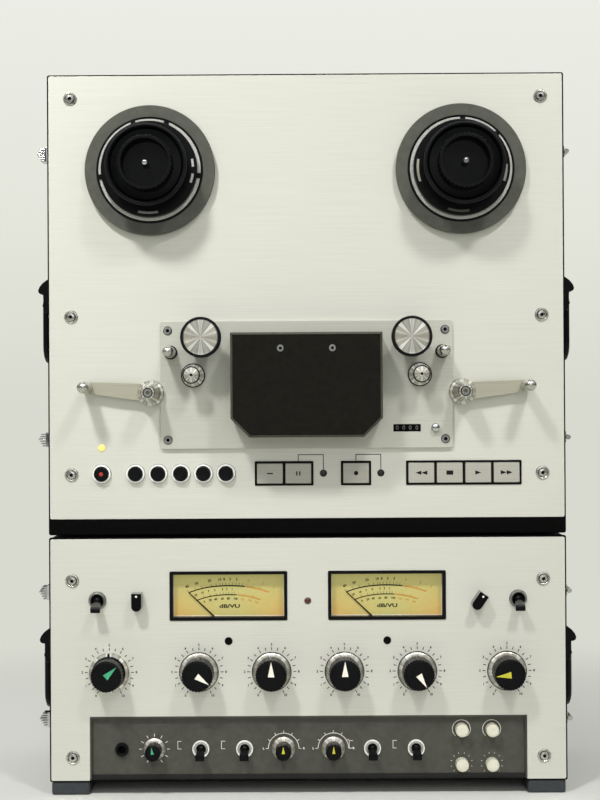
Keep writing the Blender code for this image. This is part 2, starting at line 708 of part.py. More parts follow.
def deck_panel():
    half = PANEL_WIDTH / 2
    panel = box("deck_panel", deck, (-half, 0, -PANEL_THICKNESS), (half, DECK_PANEL_HEIGHT, 0),
                PANEL_CORNER, 2)
    cell_height = KEY_HEIGHT + 2 * BUTTON_GAP
    raised = screw_heads(deck, deck_screw_places(), segments=SMALL_SEGMENTS)
    holes = []
    for x in round_places():
        inner = ROUND_CAP_RADIUS + GAP
        raised.append(bezel(deck, x, ROUND_ROW_Z, inner, ROUND_BEZEL_WALL, ROUND_BEZEL_HEIGHT))
        holes.append(through_hole(deck, x, ROUND_ROW_Z, inner, segments=KNOB_SEGMENTS))
    for center, count in key_blocks():
        width = count * KEY_PITCH + KEY_LINE
        raised.append(box("key_frame", deck,
                          (center - width / 2, KEY_ROW_Z - cell_height / 2 - KEY_LINE, -PANEL_THICKNESS / 2),
                          (center + width / 2, KEY_ROW_Z + cell_height / 2 + KEY_LINE, KEY_FRAME_HEIGHT)))
        for x in key_places(center, count):
            cell = (KEY_PITCH - KEY_LINE) / 2
            holes.append(box("key_cell", deck, (x - cell, KEY_ROW_Z - cell_height / 2, -HOLE_REACH),
                             (x + cell, KEY_ROW_Z + cell_height / 2, HOLE_REACH)))
    for x, z, radius in ((POWER_X, POWER_LAMP_Z, POWER_LAMP_RADIUS), (PAUSE_LAMP_X, KEY_ROW_Z, LAMP_RADIUS),
                         (REC_LAMP_X, KEY_ROW_Z, LAMP_RADIUS)):
        raised += screw_heads(deck, [(x, z)], radius, LAMP_HEIGHT)
    for side in (-1, 1):
        holes.append(through_hole(deck, side * REEL_X, REEL_Z, REEL_SHAFT_RADIUS + GAP,
                                  segments=ROUND_SEGMENTS))
        holes.append(through_hole(deck, side * ARM_X, ARM_Z, PIVOT_RADIUS + GAP))
    aperture = PLATE_WIDTH / 2 - PLATE_MARGIN
    holes.append(box("head_aperture", deck, (-aperture, PLATE_LOW + PLATE_MARGIN, -HOLE_REACH),
                     (aperture, PLATE_LOW + PLATE_HEIGHT - PLATE_MARGIN, HOLE_REACH)))
    join(panel, *raised)
    cut(panel, *holes)
    return finish(panel, aluminium)


def reel_table(name, x):
    """The turntable disc and the hub adaptor clamped on it, with the shaft down to its motor."""
    top = DISC_TOP
    base = top + ADAPTOR_HEIGHT
    ring = top + GRIP_RING_HEIGHT
    cup = top + CUP_HEIGHT
    floor = cup - CUP_DEPTH
    profile = [
        (0, floor + SPINDLE_HEIGHT), (SPINDLE_RADIUS * 0.7, floor + SPINDLE_HEIGHT),
        (SPINDLE_RADIUS, floor + SPINDLE_HEIGHT - SPINDLE_RADIUS), (SPINDLE_RADIUS, floor),
        (CUP_RADIUS - CUP_WALL * 1.6, floor), (CUP_RADIUS - CUP_WALL, cup - CUP_WALL),
        (CUP_RADIUS - CUP_WALL / 2, cup), (CUP_RADIUS, cup - CUP_WALL / 2),
        (CUP_RADIUS, ring - GRIP_RING_HEIGHT / 4), (GRIP_RING_BORE, ring - GRIP_RING_HEIGHT / 4),
        (GRIP_RING_BORE, ring - 1 * MM), ((GRIP_RING_BORE + GRIP_RING_RADIUS) / 2, ring),
        (GRIP_RING_RADIUS, ring - 1.5 * MM), (GRIP_RING_RADIUS, ring - GRIP_RING_HEIGHT / 4),
        (HUB_RADIUS, ring - GRIP_RING_HEIGHT / 3), (HUB_RADIUS, base),
        (ADAPTOR_RADIUS - 2 * MM, base), (ADAPTOR_RADIUS, base - 2 * MM),
        (ADAPTOR_RADIUS, top + 1 * MM), (TRIM_RING_RADIUS, top + 1 * MM), (TRIM_RING_RADIUS, top),
        (DISC_RADIUS - 1 * MM, top), (DISC_RADIUS, top - 1 * MM), (DISC_RADIUS, DISC_BASE),
        (REEL_SHAFT_RADIUS, DISC_BASE),
        (REEL_SHAFT_RADIUS, -CHASSIS_SETBACK - REEL_SHAFT_LENGTH), (0, -CHASSIS_SETBACK - REEL_SHAFT_LENGTH)]
    return finish(turned(name, deck, profile, (x, REEL_Z, 0)), dark_enamel)


def transport_chassis():
    """The steel frame behind the deck panel with the reel motors and the capstan motor."""
    back = -CHASSIS_SETBACK - CHASSIS_THICKNESS
    places = deck_screw_places()
    low = DECK_SCREW_LOW - CHASSIS_MARGIN
    high = DECK_PANEL_HEIGHT - DECK_SCREW_TOP_INSET + CHASSIS_MARGIN
    half = PANEL_WIDTH / 2 - SCREW_INSET + CHASSIS_MARGIN
    frame = box("transport_chassis", deck, (-half, low, back), (half, high, -CHASSIS_SETBACK))
    solids = [cylinder("standoff", deck, STANDOFF_RADIUS, back + OVERLAP, -PANEL_THICKNESS - GAP, (x, z, 0),
                       12)
              for x, z in places]
    solids += [cylinder("reel_motor", deck, REEL_MOTOR_RADIUS, back - REEL_MOTOR_LENGTH, back + OVERLAP,
                        (x, REEL_Z, 0), KNOB_SEGMENTS) for x in (-REEL_X, REEL_X)]
    solids.append(cylinder("capstan_motor", deck, CAPSTAN_MOTOR_RADIUS, back - CAPSTAN_MOTOR_LENGTH,
                           back + OVERLAP, (CAPSTAN_MOTOR_X, CAPSTAN_MOTOR_Z, 0), KNOB_SEGMENTS))
    solids.append(cylinder("thrust_bearing", deck, BEARING_RADIUS, back - 3 * CAPSTAN_RADIUS,
                           back + OVERLAP, (CAPSTAN_X, CAPSTAN_Z, 0)))
    bores = [cylinder("motor_bore", deck, REEL_SHAFT_RADIUS + GAP,
                      -CHASSIS_SETBACK - REEL_SHAFT_LENGTH - GAP, 0, (x, REEL_Z, 0), ROUND_SEGMENTS)
             for x in (-REEL_X, REEL_X)]
    bores.append(cylinder("thrust_bore", deck, CAPSTAN_RADIUS + GAP, back - 2 * CAPSTAN_RADIUS - GAP, 0,
                          (CAPSTAN_X, CAPSTAN_Z, 0), 12))
    join(frame, *solids)
    cut(frame, *bores)
    return finish(frame, steel)


def captive_pin(face, x, z, low, reach):
    """A pivot pin whose head keeps a swinging piece on it."""
    head = PIVOT_RADIUS + 1.5 * MM
    return turned("captive_pin", face,
                  [(0, reach + 1.5 * MM), (head, reach + 1.5 * MM), (head, reach), (PIVOT_RADIUS, reach),
                   (PIVOT_RADIUS, low - OVERLAP), (0, low - OVERLAP)], (x, z, 0), SMALL_SEGMENTS)


def tape_guide(side):
    base = PLATE_FRONT
    cap = base + GUIDE_HEIGHT
    groove = base + TAPE_HEIGHT - PLATE_FRONT
    return turned("tape_guide", deck,
                  [(0, cap - 2 * MM), (1.4 * MM, cap - 2 * MM), (1.4 * MM, cap),
                   (GUIDE_CAP_RADIUS - 1 * MM, cap), (GUIDE_CAP_RADIUS, cap - 1 * MM),
                   (GUIDE_CAP_RADIUS, groove + 3.4 * MM), (POST_RADIUS, groove + 3.4 * MM),
                   (POST_RADIUS, groove - 3.4 * MM), (GUIDE_CAP_RADIUS, groove - 3.4 * MM),
                   (GUIDE_CAP_RADIUS, base + 3 * MM), (GUIDE_FLANGE_RADIUS, base + 3 * MM),
                   (GUIDE_FLANGE_RADIUS, base - OVERLAP), (0, base - OVERLAP)],
                  (side * GUIDE_X, GUIDE_Z, 0), SMALL_SEGMENTS)


def guide_post(side):
    base = PLATE_FRONT
    top = base + POST_HEIGHT
    dome = [(POST_RADIUS * math.sin(a), top - POST_RADIUS * 0.6 * (1 - math.cos(a)))
            for a in (0, math.radians(35), math.radians(65), math.radians(90))]
    return turned("guide_post", deck,
                  dome + [(POST_RADIUS, base + 8 * MM), (POST_RADIUS + 0.4 * MM, base + 7 * MM),
                          (POST_RADIUS + 0.4 * MM, base - OVERLAP), (0, base - OVERLAP)],
                  (side * POST_X, POST_Z, 0), SMALL_SEGMENTS)


def head_x(index):
    return HEAD_FIRST_X + index * HEAD_PITCH


def head_plate():
    """The raised plate with its tape guides, the heads, the counter and the capstan bearing."""
    half = PLATE_WIDTH / 2
    plate = box("head_plate", deck, (-half, PLATE_LOW, PLATE_BACK),
                (half, PLATE_LOW + PLATE_HEIGHT, PLATE_FRONT), PLATE_CORNER, 2)
    front = PLATE_FRONT
    shapes = screw_heads(deck, [(x, z) for x in (-half + PLATE_SCREW_INSET_X, half - PLATE_SCREW_INSET_X)
                                for z in (PLATE_LOW + PLATE_SCREW_INSET_Z,
                                          PLATE_LOW + PLATE_HEIGHT - PLATE_SCREW_INSET_Z)],
                         PLATE_SCREW_RADIUS, PLATE_SCREW_HEIGHT, front)
    shapes += [make(side) for side in (-1, 1) for make in (tape_guide, guide_post)]
    shapes.append(box("head_base", deck, (head_x(0) - HEAD_WIDTH / 2 - 4 * MM, TAPE_Z, front - OVERLAP),
                      (head_x(2) + HEAD_WIDTH / 2 + 2 * MM, TAPE_Z + HEAD_LENGTH + 8 * MM, front + 4 * MM)))
    shapes += [box("head", deck, (head_x(i) - HEAD_WIDTH / 2, TAPE_Z + GAP, front + OVERLAP),
                   (head_x(i) + HEAD_WIDTH / 2, TAPE_Z + HEAD_LENGTH, front + HEAD_HEIGHT), 1.5 * MM, 2)
               for i in range(3)]
    shapes.append(captive_pin(deck, PINCH_PIVOT_X, PINCH_PIVOT_Z, front,
                              front + PINCH_ARM_THICKNESS + 3 * GAP))
    shapes += [box("hinge_lug", deck, (side * HINGE_LUG_X - HINGE_LUG_WIDTH / 2, hinge_z() - 3 * MM,
                                       front - OVERLAP),
                   (side * HINGE_LUG_X + HINGE_LUG_WIDTH / 2, hinge_z() + COVER_WALL + HINGE_PIN_RADIUS,
                    front + HINGE_HEIGHT + 2 * HINGE_PIN_RADIUS)) for side in (-1, 1)]
    shapes.append(box("counter_body", deck, (COUNTER_X - COUNTER_WIDTH / 2 - 2 * MM,
                                             COUNTER_Z - COUNTER_HEIGHT,
                                             -COUNTER_BODY_DEPTH),
                      (COUNTER_X + COUNTER_WIDTH / 2 + 2 * MM, COUNTER_Z + COUNTER_HEIGHT,
                       PLATE_BACK + OVERLAP)))
    shapes.append(cylinder("capstan_bearing", deck, BEARING_RADIUS, -FLYWHEEL_SETBACK + GAP,
                           front + 1.5 * MM,
                           (CAPSTAN_X, CAPSTAN_Z, 0)))
    holes = [box("counter_window", deck, (COUNTER_X - COUNTER_WIDTH / 2, COUNTER_Z - COUNTER_HEIGHT / 2,
                                          front - PLATE_THICKNESS / 2),
                 (COUNTER_X + COUNTER_WIDTH / 2, COUNTER_Z + COUNTER_HEIGHT / 2, front + 2 * MM)),
             through_hole(deck, CAPSTAN_X, CAPSTAN_Z, CAPSTAN_RADIUS + GAP, segments=12),
             through_hole(deck, RESET_X, COUNTER_Z, RESET_RADIUS + GAP)]
    for side in (-1, 1):
        holes.append(through_hole(deck, side * IDLER_X, IDLER_Z, PIVOT_RADIUS + GAP))
        pin_hole = cylinder("lug_bore", deck, HINGE_PIN_RADIUS + GAP, -HINGE_LUG_WIDTH, HINGE_LUG_WIDTH,
                            (side * HINGE_LUG_X, hinge_z(), PLATE_FRONT + HINGE_HEIGHT), 12)
        pin_hole.rotation_euler = (0, math.pi / 2, 0)
        holes.append(pin_hole)
    join(plate, *shapes)
    cut(plate, *holes)
    return finish(plate, aluminium)


def hinge_z():
    return COVER_LOW + COVER_HEIGHT - COVER_WALL


def cover_outline(inset):
    """The cover's front view, with its lower corners cut off, drawn in by the inset."""
    half = COVER_WIDTH / 2 - inset
    low = COVER_LOW + inset
    high = COVER_LOW + COVER_HEIGHT - inset
    cut_back = COVER_CHAMFER - inset * (2 - math.sqrt(2))
    return [(-half, high), (-half, low + cut_back), (-half + cut_back, low),
            (half - cut_back, low), (half, low + cut_back), (half, high)]


def head_cover():
    """The head cover, a shell that turns up on two pins in its top wall."""
    origin = (0, hinge_z(), PLATE_FRONT + HINGE_HEIGHT)
    rim = PLATE_FRONT + COVER_LIFT - origin[2]
    top = PLATE_FRONT + COVER_DEPTH - origin[2]

    def shifted(inset):
        return [(x, z - origin[1]) for x, z in cover_outline(inset)]

    shell = extruded("head_cover", deck, shifted(0), rim, top, origin)
    edges = bmesh.new()
    edges.from_mesh(shell.data)
    front = [e for e in edges.edges
             if all(v.co.z > top - 0.01 * MM for v in e.verts)
             and len(e.link_faces) == 2 and e.calc_face_angle(0) > 1]
    bmesh.ops.bevel(edges, geom=front, offset=COVER_BEVEL, segments=2, profile=0.5, affect="EDGES")
    edges.to_mesh(shell.data)
    edges.free()
    hollow = extruded("cover_hollow", deck, shifted(COVER_WALL), rim - OVERLAP, top - COVER_WALL, origin)
    slot_low = TAPE_Z - TAPE_SLOT / 2 - origin[1]
    inner = COVER_WIDTH / 2 - COVER_CHAMFER
    outer = COVER_WIDTH / 2 + COVER_WALL
    slots = [box("tape_slot", deck, (min(side * inner, side * outer), slot_low, rim - OVERLAP),
                 (max(side * inner, side * outer), slot_low + TAPE_SLOT,
                  PLATE_FRONT + TAPE_SLOT_REACH - origin[2]), location=origin)
             for side in (-1, 1)]
    notch_half = HINGE_LUG_WIDTH / 2 + GAP
    notch_reach = math.hypot(3 * MM, HINGE_HEIGHT) + 2 * GAP
    notches = [box("lug_notch", deck, (side * HINGE_LUG_X - notch_half, -COVER_WALL, rim - OVERLAP),
                   (side * HINGE_LUG_X + notch_half, 2 * COVER_WALL, notch_reach), location=origin)
               for side in (-1, 1)]
    pins = []
    for side in (-1, 1):
        pin = cylinder("hinge_pin", deck, HINGE_PIN_RADIUS, -notch_half - 2 * MM, notch_half + 2 * MM,
                       (side * HINGE_LUG_X, origin[1], origin[2]), 12)
        pin.rotation_euler = (0, math.pi / 2, 0)
        pins.append(pin)
    cut(shell, hollow, *slots, *notches)
    join(shell, *pins)
    return finish(shell, brown_enamel)


def capstan():
    wheel_front = -FLYWHEEL_SETBACK
    wheel_back = wheel_front - FLYWHEEL_THICKNESS
    end = -CHASSIS_SETBACK - CHASSIS_THICKNESS - 2 * CAPSTAN_RADIUS
    profile = [(0, PLATE_FRONT + CAPSTAN_HEIGHT), (CAPSTAN_RADIUS * 0.8, PLATE_FRONT + CAPSTAN_HEIGHT),
               (CAPSTAN_RADIUS, PLATE_FRONT + CAPSTAN_HEIGHT - 0.6 * MM), (CAPSTAN_RADIUS, wheel_front),
               (FLYWHEEL_RADIUS, wheel_front), (FLYWHEEL_RADIUS, wheel_back), (CAPSTAN_RADIUS, wheel_back),
               (CAPSTAN_RADIUS, end), (0, end)]
    return finish(turned("capstan", deck, profile, (CAPSTAN_X, CAPSTAN_Z, 0), KNOB_SEGMENTS), steel)


def pinch_rest():
    """Where the pinch roller's centre rests, swung away from the capstan."""
    pressed_z = TAPE_Z - GAP - PINCH_ROLLER_RADIUS
    dx = CAPSTAN_X - PINCH_PIVOT_X
    dz = pressed_z - PINCH_PIVOT_Z
    length = math.hypot(dx, dz)
    angle = math.atan2(dz, dx) - PINCH_SWING
    return PINCH_PIVOT_X + length * math.cos(angle), PINCH_PIVOT_Z + length * math.sin(angle), angle, length


def pinch_arm():
    x, z, angle, length = pinch_rest()
    low = PLATE_FRONT + GAP
    high = low + PINCH_ARM_THICKNESS
    radius = PINCH_ARM_RADIUS
    origin = (PINCH_PIVOT_X, PINCH_PIVOT_Z, 0)
    outline = (arc(radius, math.radians(90), math.radians(270), 8)
               + arc(radius, math.radians(-90), math.radians(90), 8, (length, 0)))
    turned_outline = [(px * math.cos(angle) - py * math.sin(angle),
                       px * math.sin(angle) + py * math.cos(angle))
                      for px, py in outline]
    arm = extruded("pinch_arm", deck, turned_outline, low, high, origin)
    bore = through_hole(deck, PINCH_PIVOT_X, PINCH_PIVOT_Z, PIVOT_RADIUS + GAP)
    reach = high + 2 * GAP + PINCH_ROLLER_HEIGHT
    axle = captive_pin(deck, x, z, high, reach)
    cut(arm, bore)
    join(arm, axle)
    return finish(arm, steel)


def pinch_roller():
    x, z, _, _ = pinch_rest()
    low = PLATE_FRONT + 2 * GAP + PINCH_ARM_THICKNESS
    high = low + PINCH_ROLLER_HEIGHT
    bore = PIVOT_RADIUS + GAP
    profile = [(bore, high), (PINCH_ROLLER_RADIUS - 0.5 * MM, high), (PINCH_ROLLER_RADIUS, high - 0.5 * MM),
               (PINCH_ROLLER_RADIUS, low + 0.5 * MM), (PINCH_ROLLER_RADIUS - 0.5 * MM, low), (bore, low)]
    return finish(turned("pinch_roller", deck, profile, (x, z, 0), KNOB_SEGMENTS, closed=True), rubber)


def idler(name, x):
    base = PLATE_FRONT + GAP
    top = PLATE_FRONT + IDLER_HEIGHT
    groove = IDLER_RADIUS - 1.8 * MM
    middle = PLATE_FRONT + TAPE_HEIGHT - PLATE_FRONT
    profile = [(0, top - 0.4 * MM), (IDLER_FACE_RADIUS, top - 0.4 * MM), (IDLER_FACE_RADIUS + 0.8 * MM, top),
               (IDLER_RADIUS - 0.6 * MM, top), (IDLER_RADIUS, top - 0.6 * MM),
               (IDLER_RADIUS, middle + 3.4 * MM),
               (groove, middle + 3.4 * MM), (groove, middle - 3.4 * MM), (IDLER_RADIUS, middle - 3.4 * MM),
               (IDLER_RADIUS, base + 2 * MM), (IDLER_RADIUS / 2, base + 2 * MM), (IDLER_RADIUS / 2, base),
               (PIVOT_RADIUS, base), (PIVOT_RADIUS, -2 * MM), (0, -2 * MM)]
    return finish(turned(name, deck, profile, (x, IDLER_Z, 0), KNOB_SEGMENTS), black_plastic)


def tension_arm(name, side):
    """A tapered arm from a domed pivot to the post that the tape runs round."""
    low = PLATE_FRONT + 1 * MM
    arm_low = low + 1.5 * MM
    arm_high = arm_low + ARM_THICKNESS
    top = arm_high + ARM_CAP_HEIGHT
    origin = (side * ARM_X, ARM_Z, 0)
    hub = turned(name, deck,
                 [(0, top), (ARM_CAP_RADIUS * 0.7, top), (ARM_CAP_RADIUS, top - 1.5 * MM),
                  (ARM_CAP_RADIUS + 1.5 * MM, arm_high + ARM_CAP_HEIGHT / 2),
                  (ARM_ROOT_HALF, arm_high + 3 * MM),
                  (ARM_HUB_RADIUS, arm_high), (ARM_HUB_RADIUS, low), (PIVOT_RADIUS * 2, low),
                  (PIVOT_RADIUS * 2, GAP), (PIVOT_RADIUS, GAP), (PIVOT_RADIUS, -HOLE_REACH),
                  (0, -HOLE_REACH)],
                 origin, KNOB_SEGMENTS)
    tip = (side * ARM_LENGTH * math.cos(ARM_RISE), ARM_LENGTH * math.sin(ARM_RISE))
    half = ARM_POST_RADIUS - 0.6 * MM
    blade = extruded("arm_blade", deck, [(0, -ARM_ROOT_HALF), (side * ARM_ROOT_HALF, -ARM_ROOT_HALF),
                                         (tip[0], tip[1] - half), (tip[0], tip[1] + half),
                                         (side * ARM_ROOT_HALF, ARM_ROOT_HALF), (0, ARM_ROOT_HALF)][::side],
                     arm_low, arm_high, origin)
    post_top = arm_low + ARM_POST_HEIGHT
    post = turned("arm_post", deck,
                  [(0, post_top), (ARM_POST_RADIUS * 0.6, post_top - 0.5 * MM),
                   (ARM_POST_RADIUS, post_top - 2 * MM), (ARM_POST_RADIUS, arm_low - 0.5 * MM),
                   (0, arm_low - 0.5 * MM)],
                  (origin[0] + tip[0], origin[1] + tip[1], 0), SMALL_SEGMENTS)
    join(hub, blade, post)
    return finish(hub, steel)


def round_button(name, x):
    top = ROUND_CAP_HEIGHT
    profile = [(0, top - 0.6 * MM), (ROUND_CAP_RADIUS * 0.75, top - 0.3 * MM),
               (ROUND_CAP_RADIUS * 0.88, top),
               (ROUND_CAP_RADIUS, top - 0.8 * MM), (ROUND_CAP_RADIUS, -BUTTON_STEM), (0, -BUTTON_STEM)]
    return finish(turned(name, deck, profile, (x, ROUND_ROW_Z, 0), SMALL_SEGMENTS), black_plastic)


def key(name, x):
    half = (KEY_PITCH - KEY_LINE) / 2 - BUTTON_GAP
    return finish(box(name, deck, (-half, -KEY_HEIGHT / 2, -BUTTON_STEM),
                      (half, KEY_HEIGHT / 2, KEY_FACE_HEIGHT),
                      KEY_BEVEL, location=(x, KEY_ROW_Z, 0), segments=1), key_metal)


def counter_reset():
    profile = [(0, PLATE_FRONT + RESET_HEIGHT), (RESET_RADIUS * 0.8, PLATE_FRONT + RESET_HEIGHT),
               (RESET_RADIUS, PLATE_FRONT + RESET_HEIGHT - 0.8 * MM), (RESET_RADIUS, -BUTTON_STEM),
               (0, -BUTTON_STEM)]
    return finish(turned("counter_reset", deck, profile, (RESET_X, COUNTER_Z, 0), SMALL_SEGMENTS), steel)


def toggle_ring(face, x, z, base):
    return bezel(face, x, z, TOGGLE_BALL_RADIUS + GAP, TOGGLE_RING_RADIUS - TOGGLE_BALL_RADIUS - GAP,
                 TOGGLE_RING_HEIGHT, base, SMALL_SEGMENTS)


def toggle(name, x, z, base, length, root_half, end_half, end_thickness, tilt):
    """A flared paddle that points down at rest and flips up about its ball."""
    radius = TOGGLE_BALL_RADIUS
    neck = TOGGLE_NECK_HALF
    bend = TOGGLE_NECK_LENGTH
    origin = (x, z, base + TOGGLE_LIFT)
    lever = turned(name, amp, [(0, radius), (radius * 0.7, radius * 0.7), (radius, 0),
                               (radius * 0.8, -radius * 0.6), (radius * 0.35, -radius),
                               (radius * 0.35, -2.5 * radius), (0, -2.5 * radius)],
                   origin, 12)
    lever.rotation_euler = (tilt, 0, 0)
    stem = extruded("toggle_stem", amp,
                    [(-neck, OVERLAP), (neck, OVERLAP), (neck, bend), (root_half, bend + OVERLAP),
                     (end_half, length - OVERLAP), (-end_half, length - OVERLAP),
                     (-root_half, bend + OVERLAP), (-neck, bend)],
                    -TOGGLE_THICKNESS / 2, TOGGLE_THICKNESS / 2, origin)
    stem.rotation_euler = (math.pi / 2 + tilt, 0, 0)
    end = box("toggle_end", amp, (-end_half, -end_thickness / 2, length - TOGGLE_END_LENGTH),
              (end_half, end_thickness / 2, length), location=origin)
    end.rotation_euler = (tilt, 0, 0)
    join(lever, stem, end)
    return finish(lever, black_plastic)


def selector(name, x, turn):
    """A bar knob with a pointed end, on a short round foot."""
    radius = SELECTOR_RADIUS
    tip = SELECTOR_LENGTH
    outline = arc(radius, math.radians(180), math.radians(360), 8) + [(radius, tip), (-radius, tip)]
    knob = extruded(name, amp, outline, 1.5 * MM, SELECTOR_HEIGHT, (x, SELECTOR_Z, 0))
    knob.rotation_euler = (0, 0, -turn)
    foot = turned("selector_foot", amp,
                  [(0, 3 * MM), (radius * 0.8, 3 * MM), (radius * 0.8, GAP), (KNOB_SHAFT_RADIUS, GAP),
                   (KNOB_SHAFT_RADIUS, -KNOB_SHAFT_LENGTH), (0, -KNOB_SHAFT_LENGTH)], (x, SELECTOR_Z, 0), 12)
    join(knob, foot)
    return finish(knob, black_plastic)


def pointer_mark(x, z, top, radius, turn):
    """The raised wedge on a knob's face that shows where it points."""
    half = radius * POINTER_HALF
    tail = -radius * POINTER_TAIL
    mark = extruded("pointer_mark", amp, [(-half, tail), (half, tail), (0, radius * POINTER_TIP)],
                    top - OVERLAP / 2, top + POINTER_HEIGHT, (x, z, 0))
    mark.rotation_euler = (0, 0, -turn)
    return mark


def knob(name, x, z, base, skirt_radius, skirt_height, cap_radius, cap_height, turn, seat=GAP):
    """A knob with a flat skirt and a round cap, on a shaft through its panel."""
    foot = base + seat
    top = base + cap_height
    profile = [(0, top), (cap_radius - 1 * MM, top), (cap_radius, top - 1 * MM)]
    if skirt_height:
        profile += [(cap_radius, foot + skirt_height), (skirt_radius, foot + skirt_height * 0.6)]
        profile += [(skirt_radius, foot)]
    else:
        profile += [(cap_radius, foot)]
    profile += [(KNOB_SHAFT_RADIUS, foot), (KNOB_SHAFT_RADIUS, base - KNOB_SHAFT_LENGTH),
                (0, base - KNOB_SHAFT_LENGTH)]
    body = turned(name, amp, profile, (x, z, 0), KNOB_SEGMENTS)
    join(body, pointer_mark(x, z, top, cap_radius, turn))
    return finish(body, black_plastic)


def playback_ring():
    """The outer half of the dual output knob, round the inner knob's shaft."""
    bore = KNOB_SHAFT_RADIUS + GAP
    sleeve = bore + SLEEVE_WALL
    top = GAP + SKIRT_HEIGHT
    profile = [(bore, top), (SKIRT_RADIUS - 1 * MM, top), (SKIRT_RADIUS, top - 1 * MM), (SKIRT_RADIUS, GAP),
               (sleeve, GAP), (sleeve, -KNOB_SHAFT_LENGTH + 3 * MM), (bore, -KNOB_SHAFT_LENGTH + 3 * MM)]
    return finish(turned("playback_ring", amp, profile, (-KNOB_OUTER_X, KNOB_Z, 0), KNOB_SEGMENTS,
                         closed=True),
                  aluminium)


def amp_panel():
    half = PANEL_WIDTH / 2
    panel = box("amp_panel", amp, (-half, 0, -PANEL_THICKNESS), (half, AMP_PANEL_HEIGHT, 0), PANEL_CORNER, 2)
    raised = screw_heads(amp, amp_screw_places(), segments=SMALL_SEGMENTS)
    raised += screw_heads(amp, [(0, AMP_LAMP_Z)], LAMP_RADIUS, LAMP_HEIGHT)
    raised += screw_heads(amp, [(-METER_X, MARKER_Z), (METER_X, MARKER_Z)], MARKER_RADIUS, LAMP_HEIGHT)
    holes = [box("notch", amp, (-NOTCH_HALF, -OVERLAP, -HOLE_REACH), (NOTCH_HALF, NOTCH_HEIGHT, HOLE_REACH))]
    for side in (-1, 1):
        raised.append(toggle_ring(amp, side * TOGGLE_X, TOGGLE_Z, 0))
        holes.append(through_hole(amp, side * TOGGLE_X, TOGGLE_Z, TOGGLE_BALL_RADIUS + GAP, segments=12))
        holes.append(through_hole(amp, EQUALIZER_X if side < 0 else METER_SELECT_X, SELECTOR_Z,
                                  KNOB_SHAFT_RADIUS + GAP, segments=12))
        holes.append(box("meter_window", amp, (side * METER_X - METER_WIDTH / 2 - GAP,
                                               METER_Z - METER_HEIGHT / 2 - GAP, -HOLE_REACH),
                         (side * METER_X + METER_WIDTH / 2 + GAP, METER_Z + METER_HEIGHT / 2 + GAP,
                          HOLE_REACH)))
        for x in (KNOB_MID_X, KNOB_INNER_X):
            holes.append(through_hole(amp, side * x, KNOB_Z, KNOB_SHAFT_RADIUS + GAP, segments=12))
    holes.append(through_hole(amp, KNOB_OUTER_X, KNOB_Z, KNOB_SHAFT_RADIUS + GAP, segments=12))
    holes.append(through_hole(amp, -KNOB_OUTER_X, KNOB_Z, KNOB_SHAFT_RADIUS + SLEEVE_WALL + 2 * GAP))
    join(panel, *raised)
    cut(panel, *holes)
    return finish(panel, aluminium)


def needle_z():
    return METER_Z - METER_HEIGHT / 2 - NEEDLE_DROP


def meter_pair():
    """Both meter housings on one bracket, each with a frame that shows through the panel."""
    back = -PANEL_THICKNESS - GAP
    rear = back - METER_BOX_DEPTH
    low = METER_Z - METER_HEIGHT / 2 - METER_BOX_BELOW
    high = METER_Z + METER_HEIGHT / 2 + METER_BOX_SIDE
    half = METER_WIDTH / 2 + METER_BOX_SIDE
    frames = []
    hollows = []
    for side in (-1, 1):
        x = side * METER_X
        frames.append(box("meter_frame", amp, (x - METER_WIDTH / 2, METER_Z - METER_HEIGHT / 2,
                                               back - OVERLAP),
                          (x + METER_WIDTH / 2, METER_Z + METER_HEIGHT / 2, METER_PROUD)))
        frames.append(box("meter_box", amp, (x - half, low, rear), (x + half, high, back)))
        frames.append(cylinder("meter_motor", amp, METER_BOX_BELOW, rear - METER_BOX_BELOW, rear + OVERLAP,
                               (x, METER_Z, 0)))
        hollows.append(box("meter_space", amp, (x - half + METER_BOX_WALL, low + METER_BOX_WALL,
                                                rear + METER_BOX_WALL),
                           (x + half - METER_BOX_WALL, high - METER_BOX_WALL, back - METER_BOX_WALL)))
        hollows.append(box("meter_mouth", amp, (x - METER_WIDTH / 2 + METER_FRAME,
                                                METER_Z - METER_HEIGHT / 2 + METER_FRAME,
                                                back - 1.5 * METER_BOX_WALL),
                           (x + METER_WIDTH / 2 - METER_FRAME, METER_Z + METER_HEIGHT / 2 - METER_FRAME,
                            HOLE_REACH)))
    bracket = box("meter_pair", amp, (-METER_X, METER_Z - METER_BOX_SIDE, rear + GAP),
                  (METER_X, METER_Z + METER_BOX_SIDE, back - METER_BOX_WALL))
    join(bracket, *frames)
    cut(bracket, *hollows)
    staffs = [cylinder("needle_staff", amp, 1.2 * MM, rear + METER_BOX_WALL / 2,
                       rear + METER_BOX_WALL + 1.6 * MM,
                       (side * METER_X, needle_z(), 0), 12) for side in (-1, 1)]
    join(bracket, *staffs)
    return finish(bracket, black_plastic)


def needle(name, x):
    rear = -PANEL_THICKNESS - GAP - METER_BOX_DEPTH + METER_BOX_WALL
    low = rear + 0.5 * MM
    high = low + 1.0 * MM
    origin = (x, needle_z(), 0)
    hub = cylinder(name, amp, NEEDLE_HUB_RADIUS, low, high, origin, 12)
    blade = extruded("needle_blade", amp, [(-NEEDLE_WIDTH, 0), (NEEDLE_WIDTH, 0),
                                           (NEEDLE_WIDTH / 2, NEEDLE_LENGTH),
                                           (-NEEDLE_WIDTH / 2, NEEDLE_LENGTH)], low + 0.1 * MM,
                     high - 0.1 * MM, origin)
    hub.rotation_euler = (0, 0, -NEEDLE_REST)
    blade.rotation_euler = (0, 0, -NEEDLE_REST)
    join(hub, blade)
    cut(hub, cylinder("needle_bore", amp, 1.2 * MM + GAP, low - OVERLAP, high + OVERLAP, origin, 12))
    return finish(hub, black_plastic)


